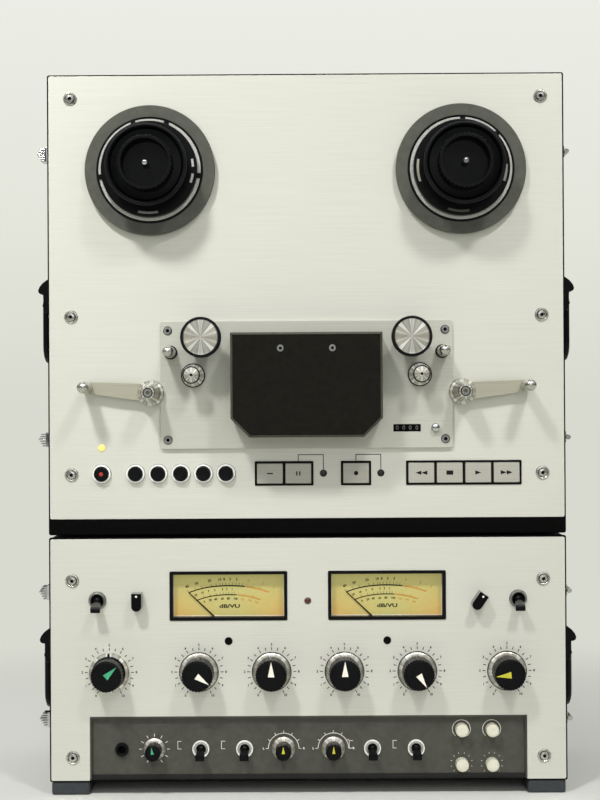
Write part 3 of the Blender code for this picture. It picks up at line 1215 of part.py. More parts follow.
def input_toggle_places():
    return [-INPUT_TOGGLE_OUTER_X, -INPUT_TOGGLE_INNER_X, INPUT_TOGGLE_INNER_X, INPUT_TOGGLE_OUTER_X]


def trimmer_places():
    return [(TRIM_FIRST_X + i * TRIM_PITCH, z) for z in (TRIM_HIGH_Z, TRIM_LOW_Z) for i in range(2)]


def control_chassis():
    """The recessed dark control panel, folded from one sheet with the tray behind it."""
    front = -RECESS_DEPTH
    back = front - CONTROL_THICKNESS
    wall = NOTCH_HALF + CONTROL_WALL
    sill = PANEL_LEDGE / 10
    panel = box("control_chassis", amp, (-wall, sill, back), (wall, NOTCH_HEIGHT + CONTROL_WALL, front))
    shapes = [box("recess_top", amp, (-wall, NOTCH_HEIGHT, back),
                  (wall, NOTCH_HEIGHT + CONTROL_WALL, -PANEL_THICKNESS - GAP))]
    shapes += [box("recess_side", amp, (min(side * NOTCH_HALF, side * wall), sill, back),
                   (max(side * NOTCH_HALF, side * wall), NOTCH_HEIGHT + CONTROL_WALL,
                    -PANEL_THICKNESS - GAP))
               for side in (-1, 1)]
    tray_z = PANEL_LEDGE + GAP
    tray_half = NOTCH_HALF - TRAY_MARGIN
    shapes.append(box("tray", amp, (-tray_half, tray_z, back - TRAY_LENGTH),
                      (tray_half, tray_z + CONTROL_THICKNESS, back + OVERLAP)))
    shapes.append(box("transformer", amp, (TRANSFORMER_X - TRANSFORMER_SIDE / 2, tray_z + OVERLAP,
                                           back - TRANSFORMER_SETBACK - TRANSFORMER_SIDE),
                      (TRANSFORMER_X + TRANSFORMER_SIDE / 2, tray_z + TRANSFORMER_SIDE * 0.8,
                       back - TRANSFORMER_SETBACK)))
    shapes.append(cylinder("jack_bush", amp, JACK_RADIUS, back - JACK_LENGTH, front + JACK_PROUD,
                           (JACK_X, ROW_Z, 0)))
    holes = [cylinder("jack_bore", amp, JACK_BORE, back - JACK_LENGTH + 2 * MM, front + 2 * JACK_PROUD,
                      (JACK_X, ROW_Z, 0))]
    for x in input_toggle_places():
        shapes.append(toggle_ring(amp, x, ROW_Z, front))
        holes.append(through_hole(amp, x, ROW_Z, TOGGLE_BALL_RADIUS + GAP, front, 12))
    for x in (LEVEL_X, -PAN_X, PAN_X):
        holes.append(through_hole(amp, x, ROW_Z, KNOB_SHAFT_RADIUS + GAP, front, 12))
    for x, z in trimmer_places():
        holes.append(through_hole(amp, x, z, KNOB_SHAFT_RADIUS + GAP, front, 12))
    join(panel, *shapes)
    cut(panel, *holes)
    return finish(panel, charcoal)


def build_deck():
    deck_case()
    deck_panel()
    transport_chassis()
    head_plate()
    for name, side in (("left", -1), ("right", 1)):
        reel_table(f"reel_table_{name}", side * REEL_X)
        idler(f"idler_{name}", side * IDLER_X)
        tension_arm(f"tension_arm_{name}", side)
        bail(f"deck_handle_{name}", deck, side, DECK_HANDLE_Z)
    head_cover()
    capstan()
    pinch_arm()
    pinch_roller()
    counter_reset()
    names = ("power_button", "reel_size_button", "auto_play_button", "speed_high_button",
             "speed_mid_button", "speed_low_button")
    for name, x in zip(names, round_places()):
        round_button(name, x)
    keys = (("cue_key", "pause_key"), ("record_key",), ("rewind_key", "stop_key", "play_key", "forward_key"))
    for labels, (center, count) in zip(keys, key_blocks()):
        for label, x in zip(labels, key_places(center, count)):
            key(label, x)


def build_amp():
    amp_case()
    amp_panel()
    control_chassis()
    meter_pair()
    needle("needle_left", -METER_X)
    needle("needle_right", METER_X)
    for name, side in (("left", -1), ("right", 1)):
        bail(f"amp_handle_{name}", amp, side, AMP_HANDLE_Z)
    for name, side in (("playback_head_toggle", -1), ("monitor_toggle", 1)):
        toggle(name, side * TOGGLE_X, TOGGLE_Z, 0, TOGGLE_LEVER_LENGTH, TOGGLE_ROOT_HALF, TOGGLE_END_HALF,
               TOGGLE_END_THICKNESS, TOGGLE_TILT)
    selector("equalizer_selector", EQUALIZER_X, 0)
    selector("meter_selector", METER_SELECT_X, SELECTOR_TURN)
    playback_ring()
    knob("playback_knob", -KNOB_OUTER_X, KNOB_Z, 0, SKIRT_RADIUS, 0, CAP_RADIUS, CAP_HEIGHT,
         math.radians(47), SKIRT_HEIGHT + 2 * GAP)
    for name, x, turn in (("input_1_knob", -KNOB_MID_X, 125), ("input_2_knob", -KNOB_INNER_X, 0),
                          ("input_3_knob", KNOB_INNER_X, 0), ("input_4_knob", KNOB_MID_X, 148),
                          ("master_knob", KNOB_OUTER_X, -96)):
        knob(name, x, KNOB_Z, 0, SKIRT_RADIUS, SKIRT_HEIGHT, CAP_RADIUS, CAP_HEIGHT, math.radians(turn))
    front = -RECESS_DEPTH
    knob("phones_knob", LEVEL_X, ROW_Z, front, LEVEL_SKIRT_RADIUS, SKIRT_HEIGHT, SMALL_CAP_RADIUS,
         SMALL_CAP_HEIGHT, math.radians(-8))
    for name, x in (("pan_knob_left", -PAN_X), ("pan_knob_right", PAN_X)):
        knob(name, x, ROW_Z, front, PAN_SKIRT_RADIUS, SKIRT_HEIGHT, SMALL_CAP_RADIUS, SMALL_CAP_HEIGHT, 0)
    for i, x in enumerate(input_toggle_places()):
        toggle(f"input_{i + 1}_toggle", x, ROW_Z, front, RECESS_LEVER_LENGTH, RECESS_ROOT_HALF,
               RECESS_END_HALF,
               RECESS_END_THICKNESS, RECESS_TILT)
    names = ("bias_trimmer_left", "bias_trimmer_right", "eq_trimmer_left", "eq_trimmer_right")
    for name, (x, z) in zip(names, trimmer_places()):
        knob(name, x, z, front, TRIM_RADIUS, 0, TRIM_RADIUS, TRIM_HEIGHT, 0)


clear_scene()
parts = new_collection(COLLECTION_NAME, bpy.context.scene.collection)
cutters = new_collection("cutters", bpy.context.scene.collection)
cutters.hide_render = True
aluminium = material("brushed aluminium", (0.72, 0.72, 0.66), 0.35, 1.0)
key_metal = material("satin key metal", (0.5, 0.48, 0.42), 0.4, 1.0)
steel = material("nickel plated steel", (0.6, 0.59, 0.54), 0.3, 1.0)
dark_enamel = material("olive grey enamel", (0.1, 0.105, 0.085), 0.5)
brown_enamel = material("brown grey enamel", (0.021, 0.019, 0.014), 0.45)
charcoal = material("charcoal enamel", (0.06, 0.061, 0.05), 0.5)
vinyl = material("black vinyl", (0.008, 0.009, 0.01), 0.5)
black_plastic = material("black plastic", (0.011, 0.012, 0.013), 0.4)
rubber = material("roller rubber", (0.015, 0.015, 0.016), 0.7)
deck = face_empty("deck_face", DECK_PANEL_Z)
amp = face_empty("amp_face", AMP_PANEL_Z)
combinations = []
build_deck()
build_amp()
add_booleans()
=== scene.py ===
import json
import math

import bmesh
import bpy
from mathutils import Matrix, Vector

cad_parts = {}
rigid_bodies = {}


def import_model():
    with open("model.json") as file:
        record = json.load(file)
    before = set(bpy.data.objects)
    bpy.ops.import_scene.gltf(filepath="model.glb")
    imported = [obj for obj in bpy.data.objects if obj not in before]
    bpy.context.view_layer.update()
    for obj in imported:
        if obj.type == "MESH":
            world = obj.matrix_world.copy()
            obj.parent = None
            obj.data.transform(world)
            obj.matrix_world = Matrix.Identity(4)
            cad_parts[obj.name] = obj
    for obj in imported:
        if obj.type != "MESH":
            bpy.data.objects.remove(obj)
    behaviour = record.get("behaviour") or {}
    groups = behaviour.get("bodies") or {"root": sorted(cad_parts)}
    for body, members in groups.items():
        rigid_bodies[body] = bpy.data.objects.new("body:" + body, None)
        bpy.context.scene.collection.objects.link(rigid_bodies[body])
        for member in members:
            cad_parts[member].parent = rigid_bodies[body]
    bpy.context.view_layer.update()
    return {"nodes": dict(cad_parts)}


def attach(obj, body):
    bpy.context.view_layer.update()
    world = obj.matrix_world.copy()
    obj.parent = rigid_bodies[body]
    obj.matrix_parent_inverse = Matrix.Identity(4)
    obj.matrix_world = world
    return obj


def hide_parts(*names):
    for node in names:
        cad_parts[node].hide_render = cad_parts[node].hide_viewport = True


print("scene: load the frame")
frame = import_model()

# Shapes are made in millimetres on a panel: x right, y up, z out to the viewer.
# The panels' faces stand at faceY, and each panel's foot at its own base.
faceY = -76.0
deckBase = 240.4
ampBase = 12.8
through = (-9, 9)  # from where to where a tool cuts right through a panel
sharpAngle = math.radians(35)  # edges steeper than this stay crisp
scene = bpy.context.scene

# Materials


def linear(code):  # sRGB hex to Blender's linear colour
    channels = [int(code[start:start + 2], 16) / 255 for start in (1, 3, 5)]
    curved = [c / 12.92 if c <= 0.04045 else ((c + 0.055) / 1.055) ** 2.4 for c in channels]
    return (*curved, 1.0)


def grey(value):
    return (value, value, value, 1.0)


def feed(tree, node, links):  # a node that stands for a socket gives its first output
    for name, source in links.items():
        socket = source if isinstance(source, bpy.types.NodeSocket) else source.outputs[0]
        tree.links.new(socket, node.inputs[name])


def addNode(tree, kind, settings=None, links=None):  # stops are the spots and colours of a ramp
    node = tree.nodes.new("ShaderNode" + kind)
    for name, value in (settings or {}).items():
        if name == "stops":
            elements = node.color_ramp.elements
            while len(elements) < len(value):
                elements.new(0.5)
            for element, (spot, colour) in zip(elements, value):
                element.position = spot
                element.color = colour
        elif isinstance(name, str) and hasattr(node, name) and name not in node.inputs:
            setattr(node, name, value)
        else:
            node.inputs[name].default_value = value
    feed(tree, node, links or {})
    return node


def newMaterial(name, values):
    made = bpy.data.materials.new(name)
    made.use_nodes = True
    shader = made.node_tree.nodes["Principled BSDF"]
    for socket, value in values.items():
        shader.inputs[socket].default_value = value
    return made, made.node_tree, shader


def speckle(tree, size, detail=2.0):  # grains of one size in mm, or of a size along each axis
    sizes = size if isinstance(size, tuple) else (size, size, size)
    coords = addNode(tree, "TexCoord").outputs["Object"]
    scale = tuple(1000 / length for length in sizes)
    stretch = addNode(tree, "Mapping", {"Scale": scale}, {"Vector": coords})
    return addNode(tree, "TexNoise", {"Scale": 1.0, "Detail": detail}, {"Vector": stretch})


def between(colours):  # a pattern's first colour gives way to its second
    return {"stops": [(0.3, linear(colours[0])), (0.7, linear(colours[1]))]}


def surface(name, colours, rough, size=3.0, wear=0.05, metal=0.0, shine=0.5, bump=0.0, bumpSize=0.5,
            detail=2.0, extra=None):  # wear is how far the roughness strays, bump the relief in mm
    made, tree, shader = newMaterial(name, {"Metallic": metal, "Roughness": rough,
                                            "Specular IOR Level": shine, **(extra or {})})
    grains = speckle(tree, size, detail)
    base = addNode(tree, "ValToRGB", between(colours), {"Fac": grains})
    spread = addNode(tree, "MapRange", {"To Min": max(rough - wear, 0.02), "To Max": rough + wear},
                     {"Value": grains})
    feed(tree, shader, {"Base Color": base, "Roughness": spread})
    if bump:
        relief = addNode(tree, "Bump", {"Strength": 1.0, "Distance": bump / 1000},
                         {"Height": speckle(tree, bumpSize, 3.0)})
        feed(tree, shader, {"Normal": relief})
    return made


# Painted highlight: how bright the painted rays are over a quarter turn of a turned face
paintedGlintStops = ((0.0, 0.0), (0.14, 0.1), (0.2, 0.35), (0.28, 0.1), (0.42, 0.15), (0.46, 0.9), (0.5, 0.4),
            (0.54, 0.95), (0.6, 0.15), (0.74, 0.4), (0.88, 0.25), (0.93, 1.0), (0.965, 0.45), (1.0, 0.8))


def spunSurface(name, colours):
    # Turned on a lathe: fine rings give a real anisotropic sheen, and narrow rays from the centre are painted
    # into the base colour as painted highlights.
    made, tree, shader = newMaterial(name, {"Metallic": 1.0, "Roughness": 0.42, "Anisotropic": 0.6})
    tangent = addNode(tree, "Tangent", {"direction_type": "UV_MAP", "uv_map": "spun"})
    coords = addNode(tree, "UVMap", {"uv_map": "spun"})
    stretch = addNode(tree, "Mapping", {"Scale": (3.0, 260.0, 1.0)}, {"Vector": coords})
    rings = addNode(tree, "TexNoise", {"Scale": 1.0, "Detail": 2.0}, {"Vector": stretch})
    apart = addNode(tree, "SeparateXYZ", links={"Vector": coords})
    fold = addNode(tree, "Math", {"operation": "PINGPONG", 1: 0.25}, {0: apart.outputs["X"]})
    quarter = addNode(tree, "Math", {"operation": "MULTIPLY", 1: 4.0}, {0: fold})
    ray = addNode(tree, "ValToRGB", {"stops": [(spot, grey(share)) for spot, share in paintedGlintStops]},
                  {"Fac": quarter})
    base = addNode(tree, "ValToRGB", between(colours), {"Fac": rings})
    # the third colour is the painted highlight, laid on where the rays fall
    lit = addNode(tree, "Mix", {"data_type": "RGBA", 7: linear(colours[2])}, {0: ray, 6: base})
    feed(tree, shader, {"Tangent": tangent, "Base Color": lit.outputs[2]})
    return made


def dialSurface(name):  # painted lamp light on a printed card: it glows yellow-green, turning orange at the lower corners
    made, tree, shader = newMaterial(name, {"Roughness": 0.7, "Emission Strength": 0.42})
    coords = addNode(tree, "UVMap", {"uv_map": "card"})
    apart = addNode(tree, "SeparateXYZ", links={"Vector": coords})
    side = addNode(tree, "Math", {"operation": "ABSOLUTE"}, {0: apart.outputs["X"]})
    drop = addNode(tree, "Math", {"operation": "MULTIPLY_ADD", 1: -0.9, 2: 0.75}, {0: apart.outputs["Y"]})
    both = addNode(tree, "Math", {"operation": "MULTIPLY"}, {0: side, 1: drop})
    hue = addNode(tree, "ValToRGB", {"stops": [
        (0.05, linear("#BAB26D")), (0.4, linear("#C3AD64")), (0.75, linear("#D0A45A"))]}, {"Fac": both})
    # the base colour is dimmed so the painted glow evens out the shade in the meter's well
    speck = addNode(tree, "ValToRGB", {"stops": [(0.3, grey(0.66)), (0.7, grey(0.72))]},
                    {"Fac": speckle(tree, 3)})
    mixed = addNode(tree, "Mix", {"data_type": "RGBA", "blend_type": "MULTIPLY", 0: 1.0}, {6: hue, 7: speck})
    feed(tree, shader, {"Base Color": mixed.outputs[2], "Emission Color": hue})
    return made


print("scene: materials")
sheet = {"size": (70, 70, 0.8), "wear": 0.04, "metal": 0.3, "bump": 0.003, "bumpSize": (60, 60, 0.8),
         "detail": 4.0}
finishes = {
    # Anodised sheet brushed along its length: soft grey sheen with fine level streaks,
    # drawn 0.8 mm wide because the real ones are too fine to show
    "panel": surface("brushedAnodisedAluminium", ("#CECEC3", "#D6D6CB"), 0.5, **sheet),
    # The same sheet in a deeper grey, so the head plate stands off the panel
    "headSheet": surface("brushedAnodisedHeadPlate", ("#BCBCB0", "#C4C4B8"), 0.5, **sheet),
    # Vinyl pressed with a leather grain: broken soft glints on black
    "vinyl": surface("grainedBlackVinylCover", ("#0B0B0C", "#131314"), 0.42, 2.2, 0.08, shine=0.4, bump=0.2,
                     bumpSize=1.1),
    # Matt paint round a case's mouth: a dead black line beside the panel
    "edging": surface("paintedBlackEdging", ("#040404", "#070707"), 0.6, shine=0.04),
    # Sprayed and baked enamel: an even olive grey with a faint orange peel
    "olive": surface("oliveBakedEnamel", ("#4F5048", "#575850"), 0.45, 6, shine=0.25, bump=0.01,
                     bumpSize=0.8),
    # Dark baked enamel: nearly black, warm where the light falls on it
    "brown": surface("brownBlackBakedEnamel", ("#13110D", "#181610"), 0.42, 5, shine=0.09, bump=0.02,
                     bumpSize=0.6),
    # Painted highlight: a paler enamel on the cover's sloped edges, standing in for the light its rims catch
    "brownPaintedEdgeHighlight": surface("paintedHighlightOnEnamelEdges", ("#3F3E34", "#49483E"), 0.35, 5, shine=0.4),
    # Baked enamel in a warm dark grey: flat and quiet behind the small knobs
    "charcoal": surface("charcoalBakedEnamel", ("#44443C", "#4C4C44"), 0.5, 5, shine=0.3, bump=0.02,
                        bumpSize=0.6),
    # Moulded in a finely etched tool: black with a weak, even sheen
    "plastic": surface("mouldedBlackPlastic", ("#060708", "#0B0C0D"), 0.34, 4, 0.06, shine=0.12, bump=0.006),
    # Moulded in a polished tool: small sharp lights on deep black
    "gloss": surface("polishedBlackPlastic", ("#030404", "#060707"), 0.2, 8, 0.04, shine=0.1),
    # Moulded blue-grey plastic: plain and half matt
    "feet": surface("mouldedGreyPlasticFeet", ("#292D31", "#33373B"), 0.5, 5),
    # Rubber ground true on a wheel: soft black without lights
    "rubber": surface("groundBlackRubber", ("#090A0D", "#0F1013"), 0.55, 3, 0.08, shine=0.14, bump=0.02),
    # Polished, then plated: the studio shows in it
    "chrome": surface("platedPolishedSteel", ("#C6C7C6", "#D8D9D8"), 0.12, 4, metal=1.0),
    # Satin plating: a warm, blurred mirror
    "nickel": surface("platedSatinNickel", ("#B9B8B0", "#CECDC6"), 0.26, 2, 0.06, metal=1.0),
    # Brushed trim drawn near white as a painted highlight, so it stays white against charcoal
    "paintedBrightTrim": surface("trimRingPaintedHighlight", ("#F4F4EE", "#FBFBF6"), 0.35, 2, 0.04, metal=0.1),
    # Plated lip of a round button, drawn near white as a painted highlight: a white ring from any side
    "paintedBrightLip": surface("platedLipPaintedHighlight", ("#F6F6F0", "#FFFFFA"), 0.3, 2, 0.04, shine=0.8),
    # Machined and left bare: mid grey with soft lights
    "steel": surface("machinedSteel", ("#8E8F8D", "#A3A4A1"), 0.34, 3, 0.06, metal=1.0),
    # Anodised caps brushed like the panel, a darker grey
    "key": surface("satinAnodisedKeyCap", ("#ADABA0", "#B5B3A8"), 0.5, (60, 60, 0.8), metal=0.3),
    # Aluminium faced on a lathe: bright rays painted into its colour as painted highlights, over a real sheen
    # that turns with the viewer
    "spun": spunSurface("latheTurnedAluminiumPaintedRays", ("#858274", "#A09D8F", "#FFFFF8")),
    # The knobs' skirts, turned finer: the same painted highlight rays, less bright
    "skirt": spunSurface("latheTurnedSkirtPaintedRays", ("#88857B", "#9A978C", "#DAD7CD")),
    # Painted sheen: dark grey in place of black, for the light reflected by a black lever's stem and a reel
    # cap's sloped rim
    "paintedLeverSheen": surface("paintedSheenOnBlackLever", ("#34342F", "#3E3E38"), 0.4, 4),
    # Fine ribs moulded round a ring: pale and slightly broken
    "webRing": surface("ribbedPaleRing", ("#A9A8A0", "#CFCDC8"), 0.4, 0.9, metal=0.2),
    # Ground along the arm, then plated: a beige metal with long faint streaks
    "armSteel": surface("groundNickelPlatedArm", ("#A4A290", "#AEAC9A"), 0.6, (40, 0.8, 0.8), metal=0.5),
    # Printed inks: flat, without lights
    "whiteInk": surface("screenPrintedWhite", ("#E4E2DA", "#F0EEE6"), 0.6, 2, 0.03),
    "blackInk": surface("screenPrintedBlack", ("#0A0A0A", "#121212"), 0.6, 2, 0.03, shine=0.2),
    "orangeInk": surface("screenPrintedOrange", ("#B9862F", "#C79438"), 0.6, 2, 0.03),
    "greyInk": surface("dimGreyFigures", ("#4A4B47", "#565753"), 0.6, 2, 0.03),
    # Paint run into a cut: smooth clear colour
    "green": surface("greenFilledPointer", ("#3A9C70", "#46AE80"), 0.45, wear=0.04),
    "cream": surface("creamFilledPointer", ("#EEE8D8", "#F6F2E4"), 0.45, wear=0.04),
    "yellow": surface("yellowFilledPointer", ("#BDB82B", "#CDC834"), 0.45, wear=0.04),
    "redMark": surface("redFilledDot", ("#A32A22", "#B4342A"), 0.4, wear=0.04),
    # Moulded plastic, yellowed a little: a warm off-white
    "trimmer": surface("mouldedCreamPlastic", ("#D2CFBA", "#DEDBC8"), 0.42, 4),
    # Moulded lenses: dark and glossy unlit, a soft glow where a bulb is on
    "redLens": surface("darkRedLens", ("#3E0B0B", "#521010"), 0.14, wear=0.04, extra={"Coat Weight": 0.5}),
    "darkLens": surface("unlitBrownLens", ("#140A08", "#1E100C"), 0.3, wear=0.04),
    "yellowLens": surface("litYellowLens", ("#E6D468", "#F4E684"), 0.2, wear=0.04, extra={
        "Coat Weight": 0.4, "Emission Color": linear("#F2E27A"), "Emission Strength": 0.35}),
    "dial": dialSurface("meterCardPaintedLampGlow"),
}

# Shapes in millimetres


def moved(shape, matrix):
    bmesh.ops.transform(shape, matrix=matrix, verts=shape.verts)
    return shape


def shifted(shape, x=0.0, y=0.0, z=0.0, turn=0.0, tilt=0.0):  # turn is clockwise for the viewer
    return moved(shape, Matrix.Translation((x, y, z)) @ Matrix.Rotation(math.radians(-turn), 4, "Z")
                 @ Matrix.Rotation(math.radians(tilt), 4, "X"))


def placed(parts, *place):  # parts are shapes with their finishes
    return [(shifted(shape, *place), *named) for shape, *named in parts]


def mirrorX(shape):
    moved(shape, Matrix.Diagonal((-1, 1, 1, 1)))
    bmesh.ops.reverse_faces(shape, faces=shape.faces)
    return shape


def soften(shape, edges, offset, segments=2):
    bmesh.ops.bevel(shape, geom=edges, offset=offset, segments=segments, profile=0.5, affect="EDGES",
                    material=-1)


def edgesAt(shape, height):
    return [edge for edge in shape.edges if all(abs(vert.co.z - height) < 1e-4 for vert in edge.verts)]


def turned(profile, steps=72):  # (radius, height) pairs spun about z, a loop if they start off the axis
    shape = bmesh.new()
    verts = [shape.verts.new((radius, 0, height)) for radius, height in profile]
    pairs = list(zip(verts, verts[1:]))
    if profile[0][0] > 0 < profile[-1][0]:
        pairs.append((verts[-1], verts[0]))
    for pair in pairs:
        shape.edges.new(pair)
    bmesh.ops.spin(shape, geom=shape.verts[:] + shape.edges[:], axis=(0, 0, 1), cent=(0, 0, 0),
                   angle=math.tau, steps=steps, use_merge=True)
    bmesh.ops.remove_doubles(shape, verts=shape.verts, dist=0.0005)
    bmesh.ops.recalc_face_normals(shape, faces=shape.faces)
    layer = shape.loops.layers.uv.new("spun")
    for face in shape.faces:
        middle = face.calc_center_median()
        base = math.atan2(middle.y, middle.x)
        for loop in face.loops:
            at = loop.vert.co
            angle = math.atan2(at.y, at.x) if at.xy.length > 1e-4 else base
            angle = base + (angle - base + math.pi) % math.tau - math.pi
            loop[layer].uv = (angle / math.tau, (at.xy.length + at.z) / 100)
    return shape


def ring(outer, inner, low, high, soft=0.3, steps=72):  # a flat ring with softened edges
    return turned([(inner, low), (outer, low), (outer, high - soft), (outer - soft, high),
                   (inner + soft, high), (inner, high - soft)], steps)


def disc(radius, low, high, soft=0.3, steps=48):
    return turned([(0, low), (radius, low), (radius, high - soft), (radius - soft * 0.3, high - soft * 0.3),
                   (radius - soft, high), (0, high)], steps)


def hole(radius, x, y):
    return shifted(disc(radius, *through, 0), x, y)


def dome(radius, height):  # profile of a rounded end
    return [(radius * math.cos(math.radians(angle)), height + radius * math.sin(math.radians(angle)))
            for angle in range(0, 91, 10)]


def around(radius, count):
    return [(radius * math.cos(math.tau * step / count), radius * math.sin(math.tau * step / count))
            for step in range(count)]


def halfRound(x, radius, start, steps=12):  # half a circle's outline from the angle start
    angles = [math.radians(start) + math.pi * step / steps for step in range(steps + 1)]
    return [(x + radius * math.cos(angle), radius * math.sin(angle)) for angle in angles]


def about(x, y, wide, tall, low, high):  # corners of a box centred on x and y
    return (x - wide / 2, y - tall / 2, low), (x + wide / 2, y + tall / 2, high)


def block(low, high, soft=0.3, segments=2):
    shape = bmesh.new()
    bmesh.ops.create_cube(shape, size=1)
    reach = [b - a for a, b in zip(low, high)]
    middle = [(a + b) / 2 for a, b in zip(low, high)]
    moved(shape, Matrix.Translation(middle) @ Matrix.Diagonal((*reach, 1)))
    if soft:
        soften(shape, shape.edges[:], soft, segments)
    return shape


def plate(low, high, corner, soft=0.3):  # a sheet with rounded corners and a softened front edge
    shape = block(low, high, 0)
    soften(shape, [edge for edge in shape.edges
                   if abs(edge.verts[0].co.z - edge.verts[1].co.z) > (high[2] - low[2]) / 2], corner, 5)
    if soft:
        soften(shape, edgesAt(shape, high[2]), soft)
    return shape


def outlineShape(points, low, high, soft=0.0):  # a flat outline pushed up from low to high
    shape = bmesh.new()
    face = shape.faces.new([shape.verts.new((x, y, low)) for x, y in points])
    pushed = bmesh.ops.extrude_face_region(shape, geom=[face])
    top = [item for item in pushed["geom"] if isinstance(item, bmesh.types.BMVert)]
    bmesh.ops.translate(shape, vec=(0, 0, high - low), verts=top)
    bmesh.ops.recalc_face_normals(shape, faces=shape.faces)
    if soft:
        soften(shape, edgesAt(shape, high), soft)
    return shape


def fluted(radius, flutes, depth, low, high, soft=0.6, flat=0.35):  # flutes cut along a cap's side
    points = []
    steps = flutes * 6
    for step in range(steps):
        angle = math.tau * step / steps
        wave = max(0.0, math.cos(flutes * angle) - flat) / (1 - flat)
        reach = radius - depth * wave
        points.append((reach * math.cos(angle), reach * math.sin(angle)))
    return outlineShape(points, low, high, soft)


def arcBand(x, y, inner, outer, start, end, high=0.0, steps=24):  # angles clockwise from the top
    def at(radius, turn):
        return x + radius * math.sin(math.radians(turn)), y + radius * math.cos(math.radians(turn))
    turns = [start + (end - start) * step / steps for step in range(steps + 1)]
    points = [at(inner, turn) for turn in turns] + [at(outer, turn) for turn in reversed(turns)]
    return outlineShape(points, high - 0.05, high + 0.05)


def fromObject(holder):  # the finished mesh of a passing object
    scene.collection.objects.link(holder)
    made = bpy.data.meshes.new_from_object(holder.evaluated_get(bpy.context.evaluated_depsgraph_get()))
    shape = bmesh.new()
    shape.from_mesh(made)
    data = holder.data
    bpy.data.objects.remove(holder)
    bpy.data.meshes.remove(made)
    bpy.data.batch_remove([data])
    return shape


def toObject(shape):
    data = bpy.data.meshes.new("passing")
    shape.to_mesh(data)
    shape.free()
    return bpy.data.objects.new("passing", data)


def merged(shapes):
    whole = bmesh.new()
    for shape in shapes:
        data = bpy.data.meshes.new("passing")
        shape.to_mesh(data)
        whole.from_mesh(data)
        bpy.data.meshes.remove(data)
        shape.free()
    return whole


def carved(shape, tools):  # tools don't touch each other
    holder = toObject(shape)
    cutter = toObject(merged(tools))
    scene.collection.objects.link(cutter)
    change = holder.modifiers.new("carve", "BOOLEAN")
    change.operation = "DIFFERENCE"
    change.solver = "EXACT"
    change.object = cutter
    result = fromObject(holder)
    data = cutter.data
    bpy.data.objects.remove(cutter)
    bpy.data.meshes.remove(data)
    return result


figureStore = {}


def figure(words, size, x, y, high, turn=0.0, bold=0.09):  # generic figures, printed 0.05 mm proud
    key = (words, size)
    if key not in figureStore:
        curve = bpy.data.curves.new("figure", "FONT")
        curve.body = words
        curve.size = size
        curve.align_x = curve.align_y = "CENTER"
        curve.extrude = 0.03
        curve.offset = bold
        curve.resolution_u = 3
        figureStore[key] = fromObject(bpy.data.objects.new("figure", curve))
    return shifted(figureStore[key].copy(), x, y, high, turn)


def cupScrew(x, y):  # raised head with a six-sided hole, in a cup washer
    washer = turned([(4.1, 0), (6.0, 0), (6.0, 0.5), (5.3, 1.2), (4.7, 1.3), (4.1, 0.9)], 40)
    head = turned([(0, 0), (3.6, 0), (3.6, 1.4), (3.1, 1.9), (1.6, 2.1), (0, 2.1)], 32)
    head = carved(head, [outlineShape(around(1.7, 6), 0.5, 3)])
    # the black discs showing in the gap round the head and in the hole's floor are painted shade
    return placed([(washer, "nickel"), (head, "nickel"), (disc(4.2, 0, 0.3, 0, 32), "gloss"),
                   (disc(1.9, 0.2, 0.7, 0, 20), "gloss")], x, y)


def socketScrew(x, y, high, radius, rise):  # flat round head with a six-sided hole
    top = high + rise
    head = turned([(0, high), (radius, high), (radius, top - 0.5), (radius - 0.5, top), (0, top)], 36)
    head = carved(head, [outlineShape(around(radius * 0.5, 6), top - 0.8, top + 1)])
    # the black disc in the socket and the black ring at the head's foot are painted shade
    return placed([(head, "steel"), (disc(radius * 0.52, high, top - 0.75, 0, 20), "gloss"),
                   (ring(radius + 0.5, radius - 0.1, high - 0.3, high + 0.15, 0.05, 36), "plastic")], x, y)


def placeOn(base):  # from panel millimetres to the frame's metres
    turn = Matrix.Rotation(math.radians(90), 4, "X")
    return Matrix.Scale(0.001, 4) @ Matrix.Translation((0, faceY, base)) @ turn


def finishPiece(name, body, base, shapes, replaced=None):
    used = []
    for shape, *named in shapes:  # a second name is the finish of faces that slope: a painted highlight or sheen on them
        used += [finish for finish in named if finish not in used]
        shape.normal_update()
        for face in shape.faces:
            sloped = 0.4 < face.normal.z < 0.9
            face.material_index = used.index(named[-1] if sloped else named[0])
            face.smooth = True
    whole = merged([shape for shape, *named in shapes])
    moved(whole, placeOn(base))
    data = bpy.data.meshes.new(name)
    whole.to_mesh(data)
    whole.free()
    for finish in used:
        data.materials.append(finishes[finish])
    data.set_sharp_from_angle(angle=sharpAngle)
    piece = bpy.data.objects.new(name, data)
    scene.collection.objects.link(piece)
    even = piece.modifiers.new("evenShading", "WEIGHTED_NORMAL")  # keeps wide faces flat beside soft edges
    even.keep_sharp = True
    even.weight = 100
    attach(piece, body)
    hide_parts(replaced or body)


# Cases

cases = {
    "half": 225.3, "front": -0.5, "back": -196.0, "corner": 3.0, "wall": 6.3, "panelHalf": 224.0,
    "rebate": 3.2, "gap": 0.2, "frame": 4.5, "rearWall": 6.0, "edging": 0.15, "edgingBack": -5.0,
    "deck": (-13.9, 387.6, 386.3), "amp": (-1.3, 211.5, 210.2),  # foot, top and panel's top
}


